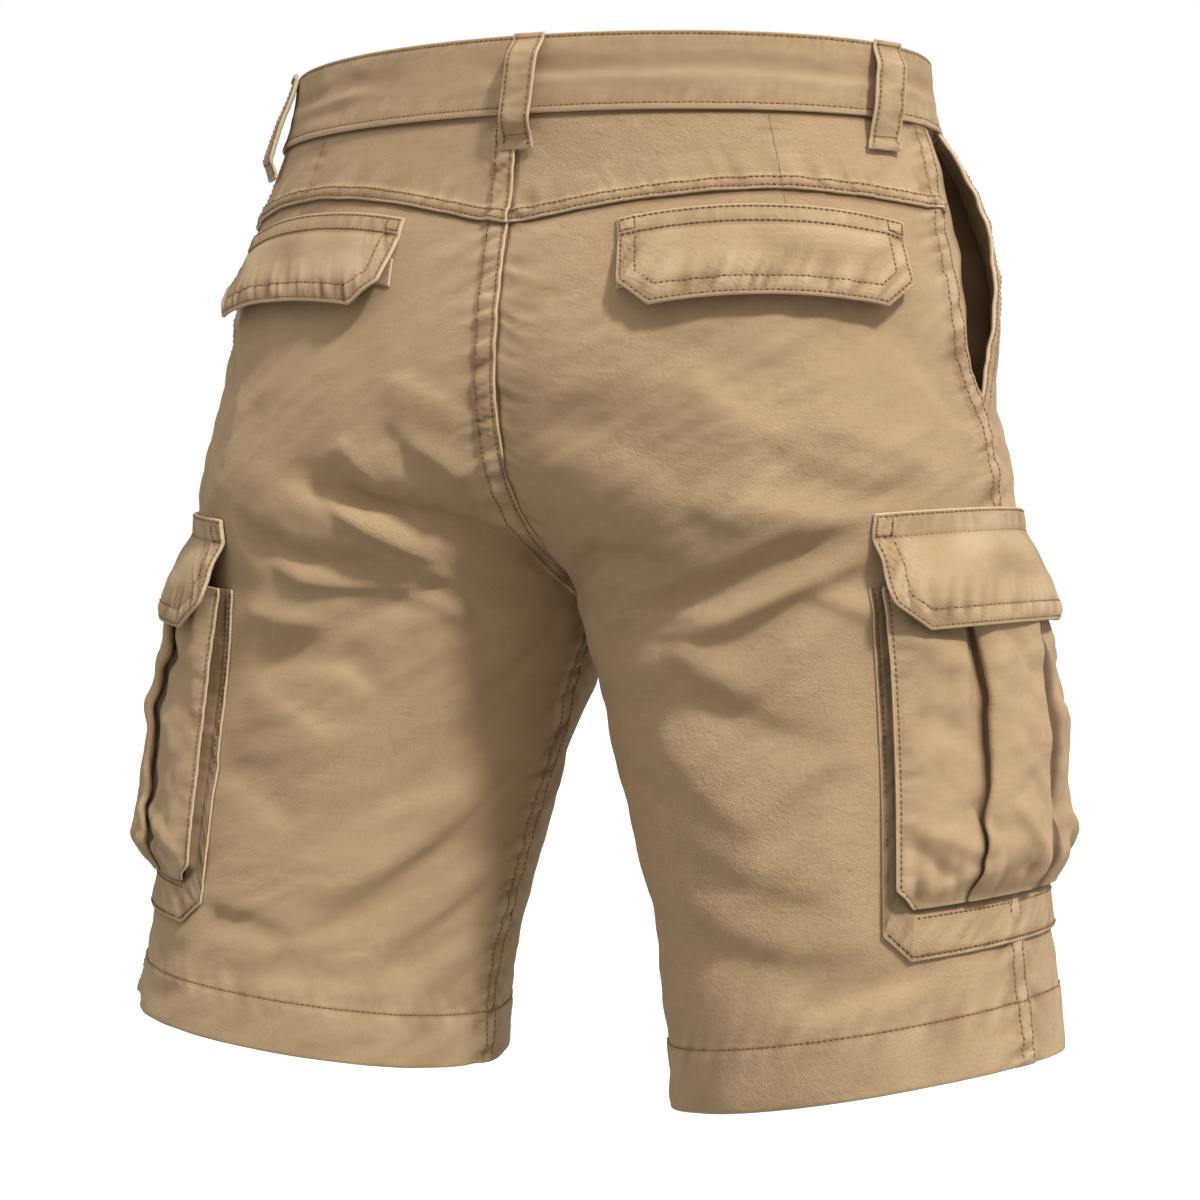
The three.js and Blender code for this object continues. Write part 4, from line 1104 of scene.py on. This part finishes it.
# Waist button with a sunk middle and four holes, on the band's left end
def waist_button(name):
    bpy.ops.object.select_all(action="DESELECT")
    bpy.ops.mesh.primitive_cylinder_add(vertices=40, radius=BUTTON_RADIUS * MM, depth=BUTTON_DEPTH * MM)
    button = bpy.context.active_object
    button.name = name
    bpy.ops.object.mode_set(mode="EDIT")
    bpy.ops.mesh.select_all(action="DESELECT")
    bpy.ops.object.mode_set(mode="OBJECT")
    for face in button.data.polygons:
        face.select = face.normal.z > 0.9
    bpy.ops.object.mode_set(mode="EDIT")
    bpy.ops.mesh.inset(thickness=1.5 * MM)
    bpy.ops.mesh.inset(thickness=0.7 * MM)
    bpy.ops.transform.translate(value=(0, 0, -0.8 * MM))
    bpy.ops.object.mode_set(mode="OBJECT")
    bevel = button.modifiers.new("edge", "BEVEL")
    bevel.width = 0.4 * MM
    bevel.segments = 3
    bevel.angle_limit = math.radians(30)
    bpy.ops.object.modifier_apply(modifier="edge")
    for x in HOLE_PLACES:
        for y in HOLE_PLACES:
            place = (x * MM, y * MM, 0)
            bpy.ops.mesh.primitive_cylinder_add(vertices=16, radius=0.75 * MM, depth=6 * MM, location=place)
            drill = bpy.context.active_object
            cut = button.modifiers.new("hole", "BOOLEAN")
            cut.operation = "DIFFERENCE"
            cut.object = drill
            bpy.context.view_layer.objects.active = button
            bpy.ops.object.modifier_apply(modifier="hole")
            bpy.data.objects.remove(drill, do_unlink=True)
    centre, normal = raised(1, np.array([178.0]), np.array([0.0]), BAND_PROUD + 0.9 + BUTTON_DEPTH / 2)
    turned = Vector(normal[0]).to_track_quat("Z", "Y").to_matrix().to_4x4()
    turned.translation = Vector(centre[0] * MM)
    button.data.transform(turned)
    button.location = (0, 0, 0)
    bpy.ops.object.select_all(action="DESELECT")
    button.select_set(True)
    bpy.context.view_layer.objects.active = button
    bpy.ops.object.shade_smooth_by_angle(angle=math.radians(35))
    for x in HOLE_PLACES:
        places = [Vector((x, y, 0.7 + 0.5 * (1 - (y / 1.6) ** 2))) for y in np.linspace(-1.6, 1.6, 7)]
        points = np.array([turned @ (place * MM) for place in places]) / MM
        for shift in (-0.25, 0.25):
            off = np.array(turned.to_3x3() @ Vector((shift, 0, 0)))
            sew("front", points + off, np.repeat(normal, 7, axis=0), pitch=3.1, width=0.7, length=0.98)
    return button


# Places at a distance in from the edge that laps over the centre back, or over the side seam
def beside_centre(levels, away):
    return turn_at(levels, -LAP + away + 0 * levels)


def beside_seam(levels, away):
    return turn_at(levels, arc(levels, side_seam(levels)) + LAP - away)


# Rows of stitches
def sew_rows():
    for side in (1, -1):

        def sew_back(turn, levels, below=1.0, **stitch):
            shown = levels < yoke_seam(side, turn) - below
            sew_on("back", side, back_spot(side, turn[shown], levels[shown]), **stitch)

        for away in (EDGE_ROW, INNER_ROW):
            levels = np.arange(-63.0 if side > 0 else -262.0, HEM_LEVEL + 2, -1.0)
            sew_back(beside_centre(levels, away), levels)
            levels = np.arange(-52.0, HEM_LEVEL + 2, -1.0)
            sew_back(beside_seam(levels, away), levels)
            levels = np.arange(-21.0, -68.0, -1.0)
            turn = beside_seam(levels, away)
            shown = levels > yoke_seam(side, turn) + 1
            sew_on("back", side, yoke_spot(side, turn[shown], levels[shown]))
            if side > 0:
                sew_on("back", side, yoke_spot(side, beside_centre(levels, away), levels))
        levels = np.arange(-22.0, -66.0, -1.0)
        turn = dart_turn(levels)
        levels = np.maximum(levels, yoke_seam(side, turn) - LAP)
        sew_on("back", side, yoke_spot(side, turn, levels), **DART_LINE)
        levels = np.arange(-60.0, -73.0, -1.0)
        sew_back(dart_turn(levels), levels, below=2.4, **DART_LINE)
        for away in YOKE_ROWS:
            turns = np.arange(0.4 if side < 0 else 0.0, 81.5, 0.3)
            sew_on("back", side, yoke_spot(side, turns, yoke_seam(side, turns) - LAP + away))
        seam = side_seam(HEM_TOP)
        for spot, first, last in ((back_spot, 0.3, seam), (front_spot, seam + 0.8, 179.8)):
            turns = np.arange(first, last, 0.3)
            sew_on("hem", side, spot(side, turns, HEM_TOP - 1.0 + 0 * turns), width=1.0)
        for away in (EDGE_ROW, 8.0):
            levels = np.arange(-22.0, MOUTH_FOOT - 2, -1.0)
            sew_on("front", side, front_spot(side, turn_at(levels, front_edge(levels) + away), levels))
    levels = np.arange(-22.0, -236.0, -1.0)
    turn = turn_at(levels, arc(levels, 180 + 0 * levels) + LAP - EDGE_ROW)
    sew_on("front", 1, front_spot(1, turn, levels))
    for width in (38.0, 44.0):
        levels = np.arange(-22.0, -186.0, -1.0)
        curve = width * np.sqrt(np.clip(1 - np.clip((-138 - levels) / 46, 0, 1) ** 2, 0, 1))
        turn = turn_at(levels, arc(levels, 180 + 0 * levels) - np.maximum(curve, 1.5))
        sew_on("front", 1, front_spot(1, turn, levels))


def sew_band():
    way = np.linspace(-166, 183, 1200)
    for level in (BAND_BOTTOM - LAP + 3.4, BAND_TOP - 2.0):
        height = band_spot(way, np.full(way.shape, level))[0]
        points, normals = raised_all_round(way, np.full(way.shape, level), height + 0.05)
        sew("band", points, normals)
    level = np.linspace(BAND_BOTTOM + 3, BAND_TOP - 3, 34)
    way = np.full(level.shape, 183.2)
    points, normals = raised_all_round(way, level, band_spot(way, level)[0] + 0.05)
    sew("band", points, normals)
    for offset in (-1.2, 1.2):
        way = np.linspace(175.2, 182.2, 30)
        level = np.full(way.shape, offset)
        points, normals = raised_all_round(way, level, band_spot(way, level)[0] + 0.1)
        sew("band", points, normals, pitch=0.9, width=0.9)


def sew_loops():
    for loop in LOOPS:
        length = LOOP_TOP - LOOP_FOOT
        down = np.arange(1.0, length - 1, 0.8)
        for across in (-5.9, 5.9):
            points, normals, _, _ = loop_points(loop, np.full(down.shape, across), down, 0.05)
            sew("loops", points, normals)
        across = np.arange(-7.0, 7.1, 0.7)
        for at in (2.8, length - 6.4):
            points, normals, _, _ = loop_points(loop, across, np.full(across.shape, at), 0.1)
            sew("loops", points, normals, pitch=1.3, width=0.6)


def outline_path(width, height, corner, away, top):
    lean = away * math.tan(math.radians(22.5))
    key = [(away, top), (away, height - corner - lean), (corner + lean, height - away)]
    key += [(width - x, y) for x, y in key[::-1]]
    key = np.array(key, float)
    run = np.concatenate([[0], np.cumsum(np.linalg.norm(np.diff(key, axis=0), axis=1))])
    at = np.arange(0, run[-1], 0.8)
    return np.interp(at, run, key[:, 0]), np.interp(at, run, key[:, 1])


# Where a flap's places come from, its width, height, corner and band, how far in its inner row runs,
# how far down its outline rows begin, and how far down the rows across its band lie
FLAPS = [
    (
        *(flap_spot, FLAP_WIDTH, FLAP_HEIGHT, FLAP_CORNER, FLAP_BAND),
        *(9.0, FLAP_BAND + 0.5, (1.6, FLAP_BAND - 0.8)),
    ),
    (
        *(cargo_flap_spot, CARGO_FLAP_WIDTH, CARGO_FLAP_HEIGHT, CARGO_FLAP_CORNER, CARGO_FLAP_BAND),
        *(9.5, CARGO_FLAP_BAND, (1.8, CARGO_FLAP_BAND - 1.5)),
    ),
]


def sew_flap(side, spot, width, height, corner, band, inner, top, rows):
    def sew_here(across, down, pitch=2.8):
        across, down = np.broadcast_arrays(across, down)
        sew_on("flaps", side, spot(side, across, down), pitch=pitch, stiff=True)

    for away in (2.0, inner):
        sew_here(*outline_path(width, height, corner, away, top))
    for down in rows:
        sew_here(np.arange(1.2, width - 1.2, 0.8), down)
    for place in (1.6, 9.0, width - 9.0, width - 1.6):
        sew_here(place, np.arange(1.4, band - 0.6, 0.5), pitch=1.5)
    for place in (1.6, width - 9.0):
        sew_here(np.arange(place, place + 7.4, 0.5), band - 2.6, pitch=1.5)


def sew_gussets():
    for side in (1, -1):
        across, down = outline_path(CARGO_WIDTH, CARGO_HEIGHT, 13, 2.2, CARGO_MOUTH + 1)
        turn, level = on_cargo(side, across, down)
        height = 0.4 + TWILL + 0.8 * smooth((down - 185) / 14)
        sew_on("pocket", side, (turn, level, height), stiff=True)
        across = np.arange(15.0, CARGO_WIDTH - 15, 0.8)
        down = np.full(across.shape, CARGO_HEIGHT - 19.0)
        turn, level = on_cargo(side, across, down)
        sew_on("pocket", side, (turn, level, 1.2 + TWILL + 0 * turn), stiff=True)


# Materials
def node_group(name, inputs, outputs):
    group = bpy.data.node_groups.new(name, "ShaderNodeTree")
    for label, kind in inputs:
        group.interface.new_socket(name=label, in_out="INPUT", socket_type=kind)
    for label in outputs:
        group.interface.new_socket(name=label, in_out="OUTPUT", socket_type="NodeSocketFloat")
    return group, group.nodes.new("NodeGroupInput"), group.nodes.new("NodeGroupOutput")


# A node with values or links on its named inputs
def add_node(tree, kind, inputs=None, **settings):
    node = tree.nodes.new(kind)
    for key, value in settings.items():
        setattr(node, key, value)
    for label, value in (inputs or {}).items():
        if isinstance(value, bpy.types.NodeSocket):
            tree.links.new(value, node.inputs[label])
        else:
            node.inputs[label].default_value = value
    return node


def sum_of(tree, operation, *values):
    return add_node(tree, "ShaderNodeMath", dict(enumerate(values)), operation=operation).outputs[0]


# The sum of values, each times its own weight
def weighted(tree, *terms):
    value, weight = terms[-1]
    total = sum_of(tree, "MULTIPLY", value, weight)
    for value, weight in terms[-2::-1]:
        total = sum_of(tree, "MULTIPLY_ADD", value, weight, total)
    return total


def noise_of(tree, vector, scale, detail=2.0, roughness=0.5, distortion=0.0):
    inputs = {"Vector": vector, "Scale": scale, "Detail": detail}
    inputs |= {"Roughness": roughness, "Distortion": distortion}
    return add_node(tree, "ShaderNodeTexNoise", inputs).outputs["Fac"]


def turned(tree, vector, degrees=0, scale=(1, 1, 1)):
    inputs = {"Vector": vector, "Rotation": (0, 0, math.radians(degrees)), "Scale": scale}
    return add_node(tree, "ShaderNodeMapping", inputs).outputs["Vector"]


def ranged(tree, value, low, high, to_low=0.0, to_high=1.0, **settings):
    inputs = {"Value": value, "From Min": low, "From Max": high, "To Min": to_low, "To Max": to_high}
    return add_node(tree, "ShaderNodeMapRange", inputs, **settings).outputs["Result"]


def bump_of(tree, height, strength, distance, below=None):
    inputs = {"Height": height, "Strength": strength, "Distance": distance}
    if below is not None:
        inputs["Normal"] = below
    return add_node(tree, "ShaderNodeBump", inputs).outputs["Normal"]


# The diagonal ribs, nap and slubs of the twill, from the cloth's own measure in metres
def twill_group():
    outputs = ["Height", "Grain", "Mottle", "Crinkle"]
    group, start, end = node_group("twill weave", [("Cloth", "NodeSocketVector")], outputs)
    cloth = start.outputs["Cloth"]
    waves = {"Vector": turned(group, cloth, 58), "Scale": 420}
    waves |= {"Distortion": 2.2, "Detail": 2, "Detail Scale": 1.4}
    rib_wave = add_node(
        group, "ShaderNodeTexWave", waves, wave_type="BANDS", bands_direction="X", wave_profile="SIN"
    )
    ribs = rib_wave.outputs["Fac"]
    nap = noise_of(group, cloth, 620, 3, 0.6, 0.6)
    worm = noise_of(group, cloth, 260, 2, 0.55, 1.6)
    slub = noise_of(group, turned(group, cloth, scale=(60, 700, 1)), 1.0, 2, 0.5)
    broad = noise_of(group, cloth, 26, 3, 0.55)
    middle = noise_of(group, cloth, 90, 2, 0.5)
    fine = noise_of(group, turned(group, cloth, 35, (1, 1.9, 1)), 75, 3, 0.5, 0.4)
    where = sum_of(group, "MULTIPLY_ADD", noise_of(group, cloth, 21, 2, 0.5), 1.6, -0.3)
    made = {
        "Height": weighted(group, (ribs, 0.35), (nap, 0.5), (worm, 0.9)),
        "Grain": weighted(group, (ribs, 0.2), (slub, 0.3), (worm, 0.5)),
        "Mottle": weighted(group, (broad, 0.6), (middle, 0.4)),
        "Crinkle": sum_of(group, "MULTIPLY", fine, where),
    }
    for label, value in made.items():
        group.links.new(value, end.inputs[label])
    return group


# Where washing has worn the cloth pale on rolled edges. The pale on the crests of puckers is partly that wear
# and partly painted highlight, and the second output is painted shade in hollows, stitch grooves and under
# laps
def wear_and_shade_group():
    inputs = [(label, "NodeSocketFloat") for label in ("Edge", "Crest", "Mottle")]
    group, start, end = node_group("worn edges and painted shade", inputs, ["Pale", "Painted Shade"])
    near = ranged(group, start.outputs["Edge"], 1.05, 0.25, interpolation_type="SMOOTHSTEP")
    uneven = sum_of(group, "MULTIPLY_ADD", start.outputs["Mottle"], 0.9, 0.35)
    edge = sum_of(group, "MULTIPLY", near, uneven)
    crest = sum_of(group, "MAXIMUM", start.outputs["Crest"], 0.0)
    hollow = sum_of(group, "MAXIMUM", sum_of(group, "MULTIPLY", start.outputs["Crest"], -1.0), 0.0)
    pale = sum_of(group, "MINIMUM", sum_of(group, "MULTIPLY_ADD", crest, 0.38, edge), 1.0)
    deep = sum_of(group, "MINIMUM", sum_of(group, "MULTIPLY", hollow, 0.4), 1.0)
    group.links.new(pale, end.inputs["Pale"])
    group.links.new(deep, end.inputs["Painted Shade"])
    return group


TWILL_WEAVE = twill_group()
WEAR_AND_PAINTED_SHADE = wear_and_shade_group()


def colour_mix(tree, factor, a, b):
    return add_node(tree, "ShaderNodeMix", {0: factor, 6: a, 7: b}, data_type="RGBA").outputs[2]


KHAKI_DEEP = (0.285, 0.182, 0.091, 1)
# Painted shade colour for hollows, stitch grooves and the angles under laps
KHAKI_SHADE = (0.12, 0.067, 0.029, 1)
KHAKI = (0.430, 0.292, 0.158, 1)
KHAKI_LIGHT = (0.520, 0.368, 0.212, 1)
# Pale of worn edges, also used as painted highlight on pucker crests and fold ridges
KHAKI_WORN_AND_HIGHLIGHT = (0.66, 0.515, 0.345, 1)
THREAD_DARK = (0.125, 0.062, 0.022, 1)
THREAD_LIGHT = (0.29, 0.155, 0.056, 1)
HORN_DARK = (0.065, 0.036, 0.018, 1)
HORN_LIGHT = (0.17, 0.105, 0.058, 1)


def new_material(name, **constants):
    material = bpy.data.materials.new(name)
    material.use_nodes = True
    shader = material.node_tree.nodes["Principled BSDF"]
    for label, value in constants.items():
        shader.inputs[label.replace("_", " ")].default_value = value
    return material, material.node_tree, shader


def twill_material():
    material, tree, shader = new_material(
        "khaki twill",
        Roughness=0.92,
        Specular_IOR_Level=0.22,
        Sheen_Weight=0.12,
        Sheen_Roughness=0.6,
        Sheen_Tint=(0.95, 0.85, 0.7, 1),
    )
    cloth = add_node(tree, "ShaderNodeUVMap", uv_map="cloth").outputs["UV"]
    weave = add_node(tree, "ShaderNodeGroup", node_tree=TWILL_WEAVE)
    tree.links.new(cloth, weave.inputs["Cloth"])
    wear_and_shade = add_node(tree, "ShaderNodeGroup", node_tree=WEAR_AND_PAINTED_SHADE)
    for name, label in (("edge", "Edge"), ("crest", "Crest")):
        kept = add_node(tree, "ShaderNodeAttribute", attribute_name=name)
        tree.links.new(kept.outputs["Fac"], wear_and_shade.inputs[label])
    tree.links.new(weave.outputs["Mottle"], wear_and_shade.inputs["Mottle"])
    colour = colour_mix(tree, ranged(tree, weave.outputs["Mottle"], 0.15, 0.85), KHAKI, KHAKI_LIGHT)
    grain = ranged(tree, weave.outputs["Grain"], 0.3, 0.72, 0.36, 0.0)
    colour = colour_mix(tree, grain, colour, KHAKI_DEEP)
    # Painted shade darkens the hollows, stitch grooves and angles under laps; then worn edges and pucker
    # crests go pale, the crests partly as painted highlight
    colour = colour_mix(tree, wear_and_shade.outputs["Painted Shade"], colour, KHAKI_SHADE)
    colour = colour_mix(tree, wear_and_shade.outputs["Pale"], colour, KHAKI_WORN_AND_HIGHLIGHT)
    tree.links.new(colour, shader.inputs["Base Color"])
    soft = bump_of(tree, weave.outputs["Crinkle"], 0.6, 0.002)
    tree.links.new(bump_of(tree, weave.outputs["Height"], 0.9, 0.0006, soft), shader.inputs["Normal"])
    return material


# A finish whose colour clouds between two, with a fine grain on its surface
def clouded_material(name, cloud, spread, colours, grain, strength, **constants):
    material, tree, shader = new_material(name, **constants)
    place = add_node(tree, "ShaderNodeTexCoord").outputs["Object"]
    tone = ranged(tree, noise_of(tree, place, *cloud), *spread)
    tree.links.new(colour_mix(tree, tone, *colours), shader.inputs["Base Color"])
    bump = bump_of(tree, noise_of(tree, place, *grain), strength, 0.0002)
    tree.links.new(bump, shader.inputs["Normal"])
    return material


def thread_material():
    return clouded_material(
        *("brown thread", (420, 2, 0.6), (0.35, 0.68), (THREAD_DARK, THREAD_LIGHT), (2600, 1, 0.5), 0.5),
        Roughness=0.55,
        Specular_IOR_Level=0.35,
    )


def horn_material():
    return clouded_material(
        *("dark horn", (260, 4, 0.6, 1.4), (0.35, 0.65), (HORN_DARK, HORN_LIGHT), (1500, 2, 0.5), 0.15),
        Roughness=0.42,
    )


twill = twill_material()
thread = thread_material()
horn = horn_material()


def finish_cloth(piece, node):
    piece.data.materials.append(twill)
    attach(piece, "root")
    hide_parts(node)


finish_cloth(waistband("band_cloth"), "waistband")
for side, hand in ((1, "left"), (-1, "right")):
    made = {
        "back": (back_panel, "hung", ["band_cloth"]),
        "front": (front_panel, "hung", ["band_cloth"]),
        "yoke": (yoke, "hung", ["band_cloth"]),
        "hip_facing": (hip_facing, "hung", ["band_cloth"]),
        "back_welt": (back_welt, "laid", [f"back_{hand}_cloth"]),
        "back_flap": (back_flap, "hung", [f"back_{hand}_cloth"]),
        "cargo_gusset": (cargo_gusset, "hung", [f"back_{hand}_cloth"]),
        "cargo_pocket": (cargo_face, "hung", [f"cargo_gusset_{hand}_cloth"]),
        "cargo_flap": (cargo_flap, "hung", [f"back_{hand}_cloth"]),
    }
    for kind, (make, held, rests_on) in made.items():
        finish_cloth(make(side, f"{kind}_{hand}_cloth"), f"{kind}_{hand}")
for loop in LOOPS:
    node = loop[0]
    piece = belt_loop(loop)
    piece.name = f"{node}_cloth"
    finish_cloth(piece, node)

button = waist_button("button_horn")
button.data.materials.clear()
button.data.materials.append(horn)
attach(button, "root")
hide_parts("waist_button")

sew_rows()
sew_band()
sew_loops()
for side in (1, -1):
    for flap in FLAPS:
        sew_flap(side, *flap)
sew_gussets()
for group in sewn:
    row = stitch_mesh(f"stitches_{group}", group)
    row.data.materials.append(thread)
    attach(row, "root")


SOFT_WHITE = (1, 0.985, 0.96)


# Floor, world and light
def add_floor():
    bpy.ops.object.select_all(action="DESELECT")
    bpy.ops.mesh.primitive_plane_add(size=40, location=(0, 0, -0.95))
    floor = bpy.context.active_object
    floor.name = "floor"
    paper = new_material("pale floor", Base_Color=(0.95, 0.95, 0.95, 1), Roughness=0.9)[0]
    floor.data.materials.append(paper)
    floor.visible_diffuse = False


# White behind the shorts, and a soft fill that is brighter from above
def add_world():
    world = bpy.data.worlds.new("studio")
    bpy.context.scene.world = world
    world.use_nodes = True
    tree = world.node_tree
    tree.nodes.clear()
    place = add_node(tree, "ShaderNodeTexCoord").outputs["Generated"]
    split = add_node(tree, "ShaderNodeSeparateXYZ", {0: place})
    strength = ranged(tree, split.outputs["Z"], -1, 1, 0.36, 0.80)
    seen = add_node(tree, "ShaderNodeBackground", {"Color": (1, 1, 1, 1)})
    fill = add_node(tree, "ShaderNodeBackground", {"Color": SOFT_WHITE + (1,), "Strength": strength})
    path = add_node(tree, "ShaderNodeLightPath").outputs["Is Camera Ray"]
    both = add_node(tree, "ShaderNodeMixShader", {0: path, 1: fill.outputs[0], 2: seen.outputs[0]})
    add_node(tree, "ShaderNodeOutputWorld", {"Surface": both.outputs[0]})


def add_sun(name, right, towards, up, strength, softness):
    way = TO_CAMERA * towards + TO_RIGHT * right + Vector((0, 0, up))
    data = bpy.data.lights.new(name, "SUN")
    data.energy = strength
    data.angle = math.radians(softness)
    data.color = SOFT_WHITE
    lamp = bpy.data.objects.new(name, data)
    bpy.context.scene.collection.objects.link(lamp)
    lamp.rotation_euler = way.to_track_quat("Z", "Y").to_euler()


add_floor()
add_world()
add_sun("key", right=0.52, towards=0.66, up=0.88, strength=2.85, softness=7)
add_sun("top", right=0.25, towards=0.4, up=1.0, strength=0.6, softness=50)
bpy.context.scene.view_settings.view_transform = "Standard"
